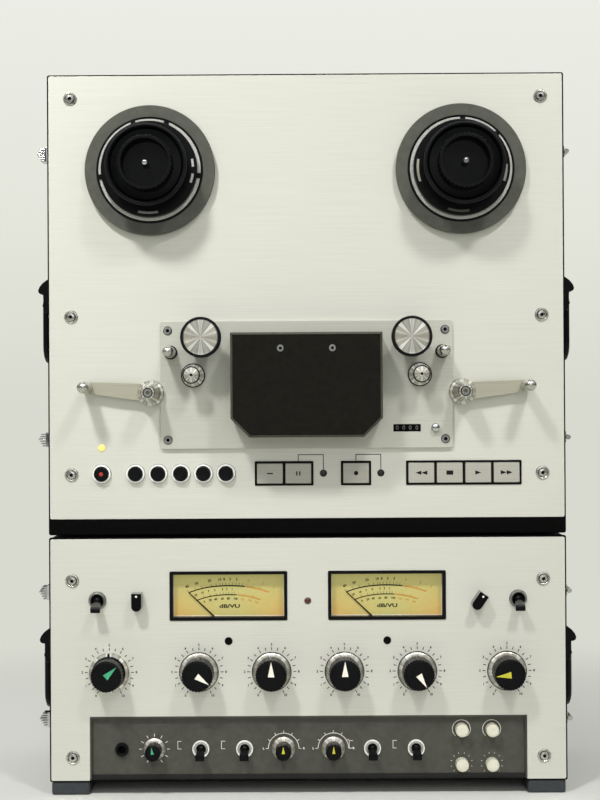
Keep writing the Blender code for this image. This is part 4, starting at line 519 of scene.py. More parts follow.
def makeCase(low, top, panelTop):
    half, back, edge = cases["half"], cases["back"], cases["edging"]
    opening = cases["panelHalf"] + cases["gap"]
    mouth = [block((-opening, -cases["gap"], depth), (opening, panelTop + cases["gap"], 5), 0)
             for depth in (-cases["rebate"], -9)]
    shell = block((-half, low, back), (half, top, cases["front"]), cases["corner"], 3)
    shell = carved(shell, mouth[:1])
    shell = carved(shell, [block((-half + cases["wall"], cases["frame"], back + cases["rearWall"]),
                                 (half - cases["wall"], panelTop - cases["frame"], 0), 0)])
    border = block((-half - edge, low - edge, cases["edgingBack"]),
                   (half + edge, top + edge, cases["front"] + edge), cases["corner"] * 0.6, 3)
    return [(shell, "vinyl"), (carved(border, mouth[1:]), "edging")]


sideFittings = {
    "x": 225.2, "deckKeepers": (319.2, 69.3), "ampKeepers": (163.0, 52.0), "deckPivot": 189.1,
    "ampPivot": 103.2, "hoods": ((-49.3, -39.7), (-152.3, -142.7)), "keeper": (13.0, 3.2), "ribs": 6,
    "rib": (1.1, 2.0, 10.2), "leaf": 10.0, "pin": (228.3, -12.0), "screwDepths": (-19.0, -26.0),
}


def hood(side, y):  # black dome over a handle's pivot, with the ear below it
    outline = [(-1, 25), (3.5, 25), (7.5, 23.2), (11.5, 20.2), (14.2, 16.8), (15.5, 13.6), (14.9, 11.4),
               (13, 10.2), (11, 10), (10.5, -5), (9, -7), (-1, -7)]
    shapes = [shifted(outlineShape(outline, low, high, 1.2), cases["half"], y)
              for low, high in sideFittings["hoods"]]
    return [(mirrorX(shape) if side < 0 else shape, "plastic") for shape in shapes]


def keeper(y):  # ribbed latch keeper on the left side
    x = sideFittings["x"]
    tall, thick = sideFittings["keeper"]
    rib, pitch, reach = sideFittings["rib"]
    shapes = [block((x, y - tall / 2, -24.0), (x + thick, y + tall / 2, -6.0), 0.6)]
    for step in range(sideFittings["ribs"]):
        foot = y - 6.0 + pitch * step
        shapes.append(block((x + 3.0, foot, -22.5), (x + reach - 1.2 * abs(step - 3), foot + rib, -8.0), 0.3))
    return [(mirrorX(shape), "chrome") for shape in shapes]


def hingeHalf(y):  # half of a lift-off hinge on the right side
    x = sideFittings["x"]
    tall = sideFittings["leaf"]
    shapes = [block((x, y - tall / 2, -30.0), (x + 1.6, y + tall / 2, -6.0), 0.3)]
    barrel = turned([(0, -9), (1.9, -9), (2.2, -8.7), (2.2, 8.7), (1.9, 9), (0, 9)], 24)
    pinX, pinZ = sideFittings["pin"]
    shapes.append(shifted(barrel, pinX, y, pinZ))
    for depth in sideFittings["screwDepths"]:
        lying = Matrix.Translation((0, y, depth)) @ Matrix.Rotation(math.radians(90), 4, "Y")
        shapes.append(moved(disc(1.7, x + 1.5, x + 2.3, 0.4, 20), lying))
    return [(shape, "nickel") for shape in shapes]


rear = {
    "bumperX": 193.3, "bumper": 9.0, "bumperHigh": 8.0, "bumperIn": 32, "inlet": (-150.0, 50.0),
    "inletSize": (27.0, 20.0), "rim": 3.0, "proud": 3.0, "deep": 14.0, "jackPlate": (60, 70, 64.0, 42.0),
    "jackX": (40.0, 60.0, 80.0), "jackY": (60.0, 80.0), "jack": 4.2,
}


def bumpers(low, high):  # turned rubber feet for standing the case on its back
    back, radius = cases["back"], rear["bumper"]
    top = back - rear["bumperHigh"]
    shapes = []
    for x in (-rear["bumperX"], rear["bumperX"]):
        for y in (low + rear["bumperIn"], high - rear["bumperIn"]):
            foot = turned([(0, back + 0.5), (radius, back + 0.5), (radius - 0.3, back - 6.6),
                           (radius - 1.6, top), (2.6, top), (2.4, back - 5.4), (0, back - 5.2)], 48)
            screw = turned([(0, back - 5.0), (2.2, back - 5.0), (1.8, back - 6.2), (0, back - 6.6)], 24)
            shapes += placed([(foot, "rubber"), (screw, "steel")], x, y)
    return shapes


def mainsInlet():
    x, y = rear["inlet"]
    wide, tall = rear["inletSize"]
    rim, deep = rear["rim"], rear["deep"]
    outer = cases["back"] - rear["proud"]
    body = block(*about(x, y, wide + 2 * rim, tall + 2 * rim, outer, outer + deep + 2), 1.0, 3)
    body = carved(body, [block(*about(x, y, wide, tall, outer - 3, outer + deep), 2.5, 3)])
    shapes = [(body, "plastic")]
    for dx, dy in ((-7.0, -1.5), (0.0, 2.5), (7.0, -1.5)):
        pin = block(*about(x + dx, y + dy, 2.0, 4.8, outer + 3.0, outer + deep + 0.5), 0.4)
        shapes.append((pin, "nickel"))
    for side in (-1, 1):
        head = disc(2.4, outer - 0.8, outer + 1.0, 0.4, 24)
        shapes.append((shifted(head, x + side * (wide / 2 + 0.5), y + tall / 2 + 0.4), "steel"))
    return shapes


def phonoJacks():
    back, radius = cases["back"], rear["jack"]
    shapes = [(block(*about(*rear["jackPlate"], back - 0.9, back + 0.5), 0.4), "charcoal")]
    for x in rear["jackX"]:
        for y in rear["jackY"]:
            shell = turned([(2.9, back - 0.6), (radius, back - 0.6), (radius, back - 5.4),
                            (radius - 0.4, back - 6.0), (3.2, back - 6.0), (2.9, back - 5.7)], 32)
            core = turned([(0, back - 0.6), (2.8, back - 0.6), (2.8, back - 4.6), (1.4, back - 4.6),
                           (1.4, back - 2.6), (0, back - 2.6)], 24)
            shapes += placed([(shell, "nickel"), (core, "redMark" if y > 70 else "whiteInk")], x, y)
    return shapes


def caseFittings(keepers, pivot):
    shapes = []
    for y in keepers:
        shapes += keeper(y) + hingeHalf(y)
    return shapes + hood(-1, pivot) + hood(1, pivot)


print("scene: cases")
underside = {"skidX": 190.0, "skid": (22.0, -15.9, -13.5), "footX": (190.8, 224.0), "foot": (-12.8, -0.9)}
deckShapes = makeCase(*cases["deck"]) + caseFittings(sideFittings["deckKeepers"], sideFittings["deckPivot"])
deckShapes += bumpers(cases["deck"][0], cases["deck"][2]) + mainsInlet()
ampShapes = makeCase(*cases["amp"]) + caseFittings(sideFittings["ampKeepers"], sideFittings["ampPivot"])
ampShapes += bumpers(cases["amp"][0], cases["amp"][2]) + phonoJacks()
for side in (-1, 1):
    wide, low, high = underside["skid"]
    skidX = side * underside["skidX"]
    deckShapes.append((block((skidX - wide / 2, low, -190.0), (skidX + wide / 2, high, -9.0), 0.6), "rubber"))
    left, right = sorted(side * x for x in underside["footX"])
    low, high = underside["foot"]
    ampShapes.append((block((left, low, -194.6), (right, high, -1.9), 2.0, 3), "feet"))
finishPiece("upperCase", "cabinet", deckBase, deckShapes, "deck_case")
finishPiece("lowerCase", "cabinet", ampBase, ampShapes, "amp_case")

# Deck panel with its fittings

deckPanel = {
    "half": 224, "high": 386.3, "thick": 3, "reel": (135.0, 303.0), "headWindow": ((-118, 70), (118, 163)),
    "screwX": 205.0, "screwY": (38.6, 176.2, 366.6), "keyLamps": (14.3, 64.3), "powerLamp": (-178.7, 62.0),
    "linkTop": 55.25, "link": 0.64,
}
keyRow = {
    "y": 39.05, "pitch": 24.7, "cap": (22.3, 17.2), "cell": (23.0, 17.9), "line": 1.7, "proud": 2.4,
    "blocks": {-19.9: ("cue_key", "pause_key"), 42.65: ("record_key",),
               136.45: ("rewind_key", "stop_key", "play_key", "forward_key")},
}
roundRow = {
    "y": 39.3, "power": -178.8, "first": -149.3, "pitch": 19.7, "hole": 6.35,
    "names": ("reel_size_button", "auto_play_button", "speed_high_button", "speed_mid_button",
              "speed_low_button"),
}


def keyPlaces():
    for centre, names in keyRow["blocks"].items():
        for step, name in enumerate(names):
            yield name, centre + (step - (len(names) - 1) / 2) * keyRow["pitch"]


def keyCells(wanted):
    return [block(*about(x, keyRow["y"], *keyRow["cell"], *through), 0) for name, x in keyPlaces()
            if name in wanted]


def roundPlaces():
    yield "power_button", roundRow["power"]
    for step, name in enumerate(roundRow["names"]):
        yield name, roundRow["first"] + step * roundRow["pitch"]


def buttonBezel():
    lip = turned([(6.55, -2), (8.0, -2), (8.0, 2.4), (7.85, 2.85), (7.5, 3.0), (6.8, 3.0), (6.55, 2.8)], 48)
    throat = turned([(6.15, -2), (6.6, -2), (6.6, 2.2), (6.15, 1.6)], 48)
    # the thin steel ring outside the lip is a painted darker line for the shade round the bezel
    return [(lip, "paintedBrightLip"), (throat, "gloss"), (ring(8.5, 7.9, -0.1, 0.25, 0.05, 48), "steel")]


def lensShape():
    return turned([(0, -1), (2.5, -1), (2.5, 0.3), (2.2, 0.8), (1.4, 1.0), (0, 1.1)], 28)


def makeDeckPanel():
    size = deckPanel
    tools = keyCells([name for name, x in keyPlaces()])
    tools += [hole(roundRow["hole"], x, roundRow["y"]) for name, x in roundPlaces()]
    tools += [hole(7, side * size["reel"][0], size["reel"][1]) for side in (-1, 1)]
    low, high = size["headWindow"]
    tools.append(block((*low, through[0]), (*high, through[1]), 0))
    panel = plate((-size["half"], 0, -size["thick"]), (size["half"], size["high"], 0), 1.5, 0.35)
    shapes = [(carved(panel, tools), "panel")]
    for centre, names in keyRow["blocks"].items():
        wide = len(names) * keyRow["pitch"] + keyRow["line"]
        tall = keyRow["cell"][1] + 2 * keyRow["line"]
        lines = plate(*about(centre, keyRow["y"], wide, tall, -0.4, 0.8), 0.8, 0.2)
        shapes.append((carved(lines, keyCells(names)), "plastic"))
    for name, x in roundPlaces():
        shapes += placed(buttonBezel(), x, roundRow["y"])
    for x in size["keyLamps"]:
        shapes += placed([(lensShape(), "darkLens"), (ring(3.1, 2.5, -0.5, 0.4, 0.15, 32), "gloss")],
                         x, keyRow["y"])
    lens = turned([(0, -1), (3.1, -1), (3.1, 0.4), (2.6, 0.9), (1.6, 1.1), (0, 1.2)], 32)
    shapes += placed([(lens, "yellowLens"), (ring(3.4, 3.1, -0.5, 0.3, 0.1, 32), "panel")],
                     *size["powerLamp"])
    for side in (-1, 1):
        for y in size["screwY"]:
            shapes += cupScrew(side * size["screwX"], y)
    thin, top = size["link"] / 2, size["linkTop"]
    for key, lamp in zip((-7.55, 42.65), size["keyLamps"]):  # thin lines from a key to its lamp
        for x0, y0, x1, y1 in ((key, top, lamp, top), (key, 49.6, key, 54.8), (lamp, 42.6, lamp, 54.8)):
            shapes.append((block((x0 - thin, y0 - thin, -0.1), (x1 + thin, y1 + thin, 0.06), 0), "blackInk"))
    return shapes


print("scene: deck panel")
finishPiece("upperPanel", "cabinet", deckBase, makeDeckPanel(), "deck_panel")

# Keys and round buttons

keySign = {"long": 5.2, "half": 1.85, "bar": 0.55, "barX": 1.3, "square": 3.0, "dot": 1.9, "dash": (2.6, 0.5)}


def signOutlines(kind):  # transport signs: triangles, bars, a square, a dot or a dash
    long, half = keySign["long"], keySign["half"]

    def box(x, wide, tall):
        return [(x - wide, -tall), (x + wide, -tall), (x + wide, tall), (x - wide, tall)]

    def triangle(x):
        return [(x, -half), (x + long, 0), (x, half)]

    return {
        "play_key": [triangle(-long / 2)],
        "forward_key": [triangle(0), triangle(-long)],
        "rewind_key": [[(-x, y) for x, y in reversed(triangle(start))] for start in (0, -long)],
        "stop_key": [box(0, keySign["square"], half)],
        "pause_key": [box(x, keySign["bar"], half) for x in (-keySign["barX"], keySign["barX"])],
        "record_key": [around(keySign["dot"], 20)],
        "cue_key": [box(0, *keySign["dash"])],
    }[kind]


print("scene: keys and buttons")
for name, x in keyPlaces():
    cap = plate(*about(x, keyRow["y"], *keyRow["cap"], -5, keyRow["proud"]), 0.7, 0.35)
    shapes = [(cap, "key")]
    for points in signOutlines(name):
        sign = outlineShape(points, keyRow["proud"] - 0.1, keyRow["proud"] + 0.05)
        shapes.append((shifted(sign, x, keyRow["y"]), "blackInk"))
    finishPiece(name.replace("_key", "") + "KeyCap", name, deckBase, shapes)

for name, x in roundPlaces():
    cap = turned([(0, -6), (6.0, -6), (6.0, 4.9), (5.8, 5.3), (5.3, 5.5), (4.4, 5.4), (0, 5.1)], 56)
    shapes = [(cap, "plastic")]
    if name == "power_button":
        shapes.append((disc(1.75, 5.0, 5.35, 0.1, 24), "redMark"))
    finishPiece(name.replace("_button", "") + "ButtonCap", name, deckBase, placed(shapes, x, roundRow["y"]))

# Reel tables

reelTable = {
    "hatch": (41.9, 44.0, 0.24), "hatches": 150, "slot": (37.2, 39.2), "tyre": (33.15, 39.0, 1.85, 3.0),
    "flutes": (23.2, 36, 0.8),
}
# The two tables' slots and spindles differ in finish only as painted light and shade.
reelMarks = {  # angles clockwise from the top, in degrees
    -1: {"tabs": (-19, 20, 97, 262), "spindle": "chrome",
         "slots": ((78, 88, "webRing"), (97, 109, "webRing"), (168, 194, "steel"))},
    1: {"tabs": (2, 46), "spindle": "steel",
        "slots": ((251, 280, "armSteel"), (87, 109, "steel"), (171, 199, "olive"))},
}


def makeReelTable(side):
    marks = reelMarks[side]
    brim = turned([(0, 1.5), (56.1, 1.5), (56.5, 1.9), (56.5, 6.4), (56.3, 6.8), (55.9, 7.0), (46.4, 7.0),
                   (46.2, 6.4), (0, 6.4)], 128)
    pale = turned([(41.6, 6.2), (44.3, 6.2), (44.3, 8.0), (44.1, 8.2), (41.6, 8.2)], 128)
    inner, outer, wide = reelTable["hatch"]
    hatching = [shifted(block((inner, -wide / 2, 8.1), (outer, wide / 2, 8.24), 0),
                        turn=360 / reelTable["hatches"] * step) for step in range(reelTable["hatches"])]
    base = turned([(0, 6.3), (41.5, 6.3), (41.5, 14.8), (41.1, 15.6), (40.3, 16.0), (33.0, 16.0),
                   (33.0, 33.8), (32.4, 34.6), (0, 34.6)], 96)
    shapes = [(brim, "olive"), (ring(46.2, 44.2, 6.2, 7.6, 0.2, 128), "plastic"), (pale, "webRing"),
              (merged(hatching), "webRing"), (base, "plastic")]
    for start, end, finish in marks["slots"]:  # slots that show what lies below, each in a finish as pale or dark as the light made it: painted light and shade
        shapes.append((arcBand(0, 0, *reelTable["slot"], start, end, 16.02), finish))
    for angle in marks["tabs"]:  # tabs that reach over the pale ring
        tab = outlineShape([(-2.4, 38.0), (2.4, 38.0), (2.2, 44.4), (-2.2, 44.4)], 7.0, 9.4, 0.4)
        shapes.append((shifted(tab, turn=angle), "plastic"))
    x, z, wide, tall = reelTable["tyre"]
    tyre = [(x + wide * a, z + tall * b) for a, b in around(1, 16)]
    cap = turned([(0, 34.5), (31.0, 34.5), (31.0, 38.0), (30.0, 39.0), (24.0, 39.5), (0, 39.5)], 80)
    rim = carved(fluted(*reelTable["flutes"], 39.0, 52.0, 0.6, 0.0), [disc(20.2, 40.5, 70, 0, 72)])
    spindle = turned([(0, 40.5), (2.8, 40.5), (2.8, 50.0), (2.3, 51.0), (1.2, 51.6), (0, 51.7)], 32)
    # the fluted rim's sloped front edge takes a painted highlight
    shapes += [(turned(tyre, 96), "rubber"), (cap, "gloss"), (rim, "plastic", "paintedLeverSheen"),
               (disc(19.7, 39.4, 40.9, 0.2, 64), "gloss"), (spindle, marks["spindle"])]
    return placed(shapes, side * deckPanel["reel"][0], deckPanel["reel"][1])


print("scene: reel tables")
for word, side in (("left", -1), ("right", 1)):
    finishPiece(word + "ReelTable", "reel_table_" + word, deckBase, makeReelTable(side))

# Head plate and what stands on it

headPlate = {
    "low": (-127.0, 60.8, 0.3), "high": (127.0, 171.9, 3.3), "screws": (120.5, (68.6, 163.6)),
    "guide": (98.5, 124.6), "post": (118.0, 144.6), "counter": (87.2, 78.2), "figurePitch": 5.7,
    "reset": (112.0, 78.2), "capstan": (38.0, 117.4), "heads": (-40.0, -17.0, 6.0),
}


def makeHeadPlate():
    size = headPlate
    tools = [block(*about(*size["counter"], 24.0, 6.6, *through), 0), hole(3.8, *size["reset"]),
             hole(4.0, *size["capstan"])]
    shapes = [(carved(plate(size["low"], size["high"], 2.5, 0.4), tools), "headSheet")]
    x, heights = size["screws"]
    for side in (-1, 1):
        for y in heights:
            shapes += socketScrew(side * x, y, 3.25, 3.4, 1.4)
    for side in (-1, 1):
        guide = [
            (turned([(0, 3.2), (10.5, 3.2), (10.5, 4.6), (10.3, 4.8), (9.6, 4.8), (9.6, 4.2), (0, 4.2)], 64),
             "plastic"),
            (turned([(5.2, 4.1), (9.65, 4.1), (9.55, 4.9), (5.2, 5.3)], 64), "spun"),
            (turned([(0, 4.2), (5.2, 4.2), (5.2, 24.6), (7.5, 25.2), (7.5, 26.6), (0, 26.6)], 56), "plastic"),
            (turned([(1.2, 26.0), (6.5, 26.6), (6.4, 27.4), (2.0, 28.3), (1.2, 28.0)], 56), "spun"),
        ]
        post = [(turned([(0, 3.2), (5.0, 3.2), *dome(5.0, 31.3)], 48), "nickel"),
                (ring(6.0, 4.9, 3.2, 5.0, 0.3, 40), "plastic")]
        shapes += placed(guide, side * size["guide"][0], size["guide"][1])
        shapes += placed(post, side * size["post"][0], size["post"][1])
    x, y = size["counter"]
    shapes.append((block(*about(x, y, 23.6, 6.2, -6, 2.3), 0.2), "gloss"))
    for step in range(4):
        shapes.append((figure("0", 5.2, x - 8.6 + size["figurePitch"] * step, y, 2.32), "greyInk"))
    for x in size["heads"]:  # three heads under the cover
        nose = turned([(0, -6), (7.5, -6), (7.5, 6), (0, 6)], 40)
        shapes += [(block((x - 7, 108, 3.2), (x + 7, 123, 26.0), 1.2, 3), "nickel"),
                   (shifted(nose, x, 110.0, 15.0), "chrome")]
    return shapes


idler = {"x": 90.0, "y": 156.6}


def makeIdler(side):
    rim = turned([(3.3, 3.8), (12.0, 3.8), (12.0, 25.5), (16.9, 25.5), (17.4, 26.0), (17.4, 31.6),
                  (17.0, 32.2), (16.2, 32.4), (15.0, 32.3), (15.0, 31.4), (3.3, 31.4)], 80)
    face = turned([(0, 31.0), (15.05, 31.0), (15.05, 32.2), (14.7, 32.5), (14.3, 32.2), (0, 32.5)], 80)
    return placed([(rim, "rubber"), (face, "spun")], side * idler["x"], idler["y"])


tensionArm = {"x": 135.0, "y": 109.6, "reach": 55.2, "rise": 5.0, "ends": (8.0, 5.0), "depths": (5.8, 8.3)}


def makeTensionArm(side):
    size = tensionArm
    hub = turned([(3.2, 0.6), (11.3, 0.6), (11.3, 8.6), (11.0, 9.0), (8.9, 9.2), (8.7, 9.8), (8.4, 12.0),
                  (6.4, 31.0), (6.1, 33.0), (5.4, 33.9), (3.3, 34.0), (3.3, 33.2), (0, 33.2)], 56)
    hub = carved(hub, [outlineShape(around(2.1, 6), 30.5, 40)])
    points = halfRound(0, size["ends"][0], 90) + halfRound(size["reach"], size["ends"][1], -90)
    post = turned([(0, 5.0), (4.9, 5.0), *dome(5.2, 33.6)], 48)
    shapes = [(hub, "spun"), (ring(4.3, 3.4, 32.0, 34.1, 0.1, 32), "plastic"),
              (ring(3.4, 1.6, 32.0, 34.0, 0.3, 32), "steel"),
              (outlineShape(points, *size["depths"], 0.3), "armSteel"),
              (shifted(post, size["reach"]), "nickel")]
    for shape, finish in shapes:
        shifted(shape, turn=-size["rise"])
        if side < 0:
            mirrorX(shape)
    return placed(shapes, side * size["x"], size["y"])


headCover = {
    "half": 64.5, "low": 71.1, "high": 160.2, "chamfer": 16.0, "back": 4.3, "front": 40.3, "edge": 1.9,
    "wall": 2.0, "slot": (66, 117.4, 36, 12.0), "slotFront": 30.3, "screws": (22.0, 146.6),
}


def coverPoints(half, low, high, chamfer):
    return [(-half + chamfer, low), (half - chamfer, low), (half, low + chamfer), (half, high), (-half, high),
            (-half, low + chamfer)]


def makeCover():
    size = headCover
    half, low, high, front, wall = (size[part] for part in ("half", "low", "high", "front", "wall"))
    shell = outlineShape(coverPoints(half, low, high, size["chamfer"]), size["back"], front)
    soften(shell, edgesAt(shell, front), size["edge"], 1)
    inner = coverPoints(half - wall, low + wall, high - wall, size["chamfer"] - 0.4)
    shell = carved(shell, [outlineShape(inner, -5, front - wall)])
    x, y, wide, tall = size["slot"]
    shell = carved(shell, [block(*about(side * x, y, wide, tall, through[0], size["slotFront"]), 0)
                           for side in (-1, 1)])
    # the cover's sloped edge faces take the painted highlight
    shapes = [(shell, "brown", "brownPaintedEdgeHighlight")]
    x, y = size["screws"]
    return shapes + socketScrew(-x, y, 40.2, 3.0, 1.2) + socketScrew(x, y, 40.2, 3.0, 1.2)


resetButton = {"radius": 3.5, "top": 7.3}

print("scene: head plate")
finishPiece("headPlate", "cabinet", deckBase, makeHeadPlate(), "head_plate")
for word, side in (("left", -1), ("right", 1)):
    finishPiece(word + "Idler", "idler_" + word, deckBase, makeIdler(side))
for word, side in (("left", -1), ("right", 1)):
    finishPiece(word + "TensionArm", "tension_arm_" + word, deckBase, makeTensionArm(side))
finishPiece("headCover", "head_cover", deckBase, makeCover())
reach, top = resetButton["radius"], resetButton["top"]
resetCap = turned([(0, 1.0), (reach, 1.0), (reach, top - 0.7), (reach - 0.3, top - 0.2), (reach - 1.1, top),
                   (0, top)], 36)
finishPiece("counterReset", "counter_reset", deckBase, placed([(resetCap, "chrome")], *headPlate["reset"]))

# Amplifier panel

meters = {"x": 69.0, "y": 160.25, "frame": (102.6, 42.9), "opening": (97.8, 38.1), "dial": -8.3}
ampPanel = {
    "half": 224, "high": 210.2, "thick": 3, "knobX": (-173.0, -95.0, -31.7, 31.7, 95.0, 173.0), "knobY": 94.2,
    "selectorX": (-148.0, 146.3), "selectorY": 152.9, "toggle": (183.1, 156.7), "dot": (69.0, 121.0),
    "lamp": (0, 155.7), "screws": (205.0, (20.2, 174.0)), "notch": (380.6, -5, 55.7), "spindle": 3.4,
    "ticks": (18.9, 21.4, 0.7), "figures": (23.6, 3.0),
}


def meterBox(side, less, low, high):  # corners of a box a little smaller than a meter's opening
    wide, tall = meters["opening"]
    return about(side * meters["x"], meters["y"], wide - less, tall - less, low, high)


def ticks(x, y, sweep, step, inner, outer, wide, high=0.0):
    turns = range(-sweep, sweep + 1, step)
    return merged([shifted(block((-wide / 2, inner, high - 0.05), (wide / 2, outer, high + 0.05), 0),
                           x, y, 0, turn) for turn in turns])


def makeAmpPanel():
    size = ampPanel
    wide, low, high = size["notch"]
    tools = [block(*meterBox(side, 0, *through), 0) for side in (-1, 1)]
    tools.append(block((-wide / 2, low, through[0]), (wide / 2, high, through[1]), 0))
    tools += [hole(size["spindle"], x, size["knobY"]) for x in size["knobX"]]
    tools += [hole(size["spindle"], x, size["selectorY"]) for x in size["selectorX"]]
    tools += [hole(4.7, side * size["toggle"][0], size["toggle"][1]) for side in (-1, 1)]
    panel = plate((-size["half"], 0, -size["thick"]), (size["half"], size["high"], 0), 1.5, 0.35)
    shapes = [(carved(panel, tools), "panel")]
    for side in (-1, 1):
        for y in size["screws"][1]:
            shapes += cupScrew(side * size["screws"][0], y)
        bush = turned([(5.4, -0.1), (7.45, -0.1), (7.45, 1.6), (7.1, 2.6), (6.4, 3.2), (5.8, 3.0),
                       (5.4, 2.2)], 48)
        # the thin black ring round the bush's foot is painted shadow
        shapes += placed([(bush, "steel"), (ring(7.8, 7.3, -0.1, 0.15, 0.02, 48), "plastic"),
                          (ring(5.4, 4.7, -0.1, 2.4, 0.2, 40), "plastic")],
                         side * size["toggle"][0], size["toggle"][1])
        dot = turned([(0, -0.1), (3.45, -0.1), (3.45, 0.3), (3.1, 0.7), (0, 0.8)], 36)
        shapes.append((shifted(dot, side * size["dot"][0], size["dot"][1]), "gloss"))
    shapes += placed([(lensShape(), "redLens"), (ring(3.3, 2.5, -0.5, 0.5, 0.15, 32), "nickel")],
                     *size["lamp"])
    radius, tall = size["figures"]
    for x in size["knobX"]:
        shapes.append((ticks(x, size["knobY"], 150, 15, *size["ticks"]), "blackInk"))
        numbers = []
        for number in range(11):
            angle = math.radians(30 * number - 150)
            numbers.append(figure(str(number), tall, x + radius * math.sin(angle),
                                  size["knobY"] + radius * math.cos(angle), 0.02))
        shapes.append((merged(numbers), "blackInk"))
    return shapes


print("scene: amplifier panel")
finishPiece("lowerPanel", "cabinet", ampBase, makeAmpPanel(), "amp_panel")

# Meters. Each line of a dial: its distance from the pivot straight up, and how it opens out to the sides

dialLines = {
    "outerWords": (43.3, 0.0044), "outerArc": (37.7, 0.0042), "middleWords": (34.6, 0.0034),
    "innerArc": (29.8, 0.0033), "innerWords": (26.4, 0.0032),
}
needlePivot = -10.7  # below the card's foot


def rayPoint(line, turn, out=0.0):  # a place on a dial's line, clockwise from straight up
    base, spread = dialLines[line]
    reach = base + spread * turn * turn + out
    return reach * math.sin(math.radians(turn)), needlePivot + reach * math.cos(math.radians(turn))


def dialBand(line, start, end, wide, steps=30):
    turns = [start + (end - start) * step / steps for step in range(steps + 1)]
    points = [rayPoint(line, turn, -wide / 2) for turn in turns]
    points += [rayPoint(line, turn, wide / 2) for turn in reversed(turns)]
    return outlineShape(points, -0.01, 0.05)


def dialTicks(line, turns, long):
    return merged([shifted(block((-0.15, -long / 2, -0.01), (0.15, long / 2, 0.05), 0),
                           *rayPoint(line, turn, long / 2), 0, turn) for turn in turns])


def dialWords(line, words, size):
    return merged([figure(word, size, *rayPoint(line, turn), 0.03, turn * 0.6)
                   for turn, word in words.items()])


def meterCard():
    half = 48.7
    card = block((-half, 0.1, -0.8), (half, 38.0, 0.0), 0)
    layer = card.loops.layers.uv.new("card")
    for face in card.faces:
        for loop in face.loops:
            loop[layer].uv = (loop.vert.co.x / half, loop.vert.co.y / meters["opening"][1])
    outer = {-44.6: "40", -35.5: "30", -22: "20", -10.7: "10", -5.4: "8", 1.6: "5", 9: "3"}
    middle = {-44.5: "20", -36.3: "10", -28.3: "7", -20: "5", -9.3: "3", -3: "2", 4.6: "1"}
    inner = {-42: "0", -33: "20", -24.3: "40", -12.5: "60", -1: "80", 12.5: "100"}
    unit = moved(figure("dB/VU", 4.4, 0, 0, 0, 0, 0.14), Matrix.Diagonal((1.55, 1, 1, 1)))
    ink = [dialBand("outerArc", -47.5, 21, 1.1), dialBand("innerArc", -48, 13.5, 0.95),
           dialTicks("outerArc", (-47.5, -40, -33, -22, -16, -11, -8, -4, 0.5, 4.5, 9, 13, 17), 2.8),
           dialTicks("innerArc", (-48, -38, -29, -20, -14, -9, -4.5, 0, 5, 9), 2.4),
           dialWords("outerWords", outer, 3.2), dialWords("middleWords", middle, 2.6),
           dialWords("innerWords", inner, 2.6), shifted(unit, 0.6, 9.0, 0.03)]
    ochre = [dialBand("outerArc", 22.5, 47.5, 1.5), dialBand("innerArc", 15, 47, 1.4),
             dialTicks("outerArc", (22, 29, 37, 47.5), 3.2), dialTicks("innerArc", (15, 26, 36, 47), 2.6),
             dialWords("outerWords", {22.2: "0", 37: "3", 47.5: "5"}, 3.2),
             dialWords("innerWords", {24.3: "120", 36: "140", 46: "160"}, 2.4)]
    return [(card, "dial"), (merged(ink), "blackInk"), (merged(ochre), "orangeInk")]


def makeMeters():
    shapes = []
    for side in (-1, 1):
        border = plate(*about(side * meters["x"], meters["y"], *meters["frame"], 0.02, 0.7), 1.2, 0.2)
        border = carved(border, [plate(*meterBox(side, 0.4, *through), 0.8, 0)])
        well = block(*meterBox(side, 0.1, -9.8, 0.1), 0)
        well = carved(well, [block(*meterBox(side, 1.0, -9.3, 9), 0)])
        lip = block(*meterBox(side, 1.0, -9.2, -7.9), 0)
        lip = carved(lip, [block(*meterBox(side, 2.0, -20, 9), 0)])
        shapes += [(border, "plastic"), (well, "plastic"), (lip, "cream")]
        shapes += placed(meterCard(), side * meters["x"], meters["y"] - meters["opening"][1] / 2,
                         meters["dial"])
    return shapes


print("scene: meters")
finishPiece("meters", "cabinet", ampBase, makeMeters(), "meter_pair")

# Knobs

bigKnob = {"radius": 13.5, "flutes": 30, "flute": 0.55, "skirt": 16.6}
knobMarks = {"playback_knob": (47, "green"), "input_1_knob": (125, "cream"), "input_2_knob": (0, "cream"),
             "input_3_knob": (0, "cream"), "input_4_knob": (148, "cream"), "master_knob": (-96, "yellow")}


def wedge(radius, low):  # a pointer let into a knob's crown
    return outlineShape([(-0.21 * radius, -0.05 * radius), (0.21 * radius, -0.05 * radius),
                         (0, 0.92 * radius)], low, low + 0.5, 0.1)


def makeBigKnob(colour, skirted):
    radius, flutes, flute, reach = bigKnob.values()
    shapes = []
    if skirted:
        skirt = turned([(0, 0.4), (reach, 0.4), (reach, 1.2), (reach - 0.4, 1.7), (13.9, 3.0), (0, 3.2)], 96)
        shapes += [(skirt, "skirt"), (ring(reach + 0.6, reach - 0.1, 0.3, 1.0, 0.1, 96), "plastic")]
    crown = turned([(0, 22.9), (12.4, 22.9), (12.2, 23.6), (11.4, 24.0), (0, 24.0)], 64)
    return shapes + [(fluted(radius, flutes, flute, 3.0, 23.2, 0.9), "plastic"), (crown, "plastic"),
                     (wedge(radius, 23.8), colour)]


playbackRing = {"inner": 13.9, "outer": 17.2, "high": 5.6, "mark": 2.0}


def makePlaybackRing():
    inner, outer, high, wide = playbackRing.values()
    band = turned([(inner, 0.4), (outer, 0.4), (outer, high - 1.0), (outer - 0.4, high - 0.4),
                   (inner + 0.7, high), (inner, high - 0.4)], 96)
    mark = block((-wide / 2, inner + 0.3, high - 0.3), (wide / 2, outer - 0.2, high + 0.15), 0.15)
    return [(band, "spun"), (mark, "plastic")]


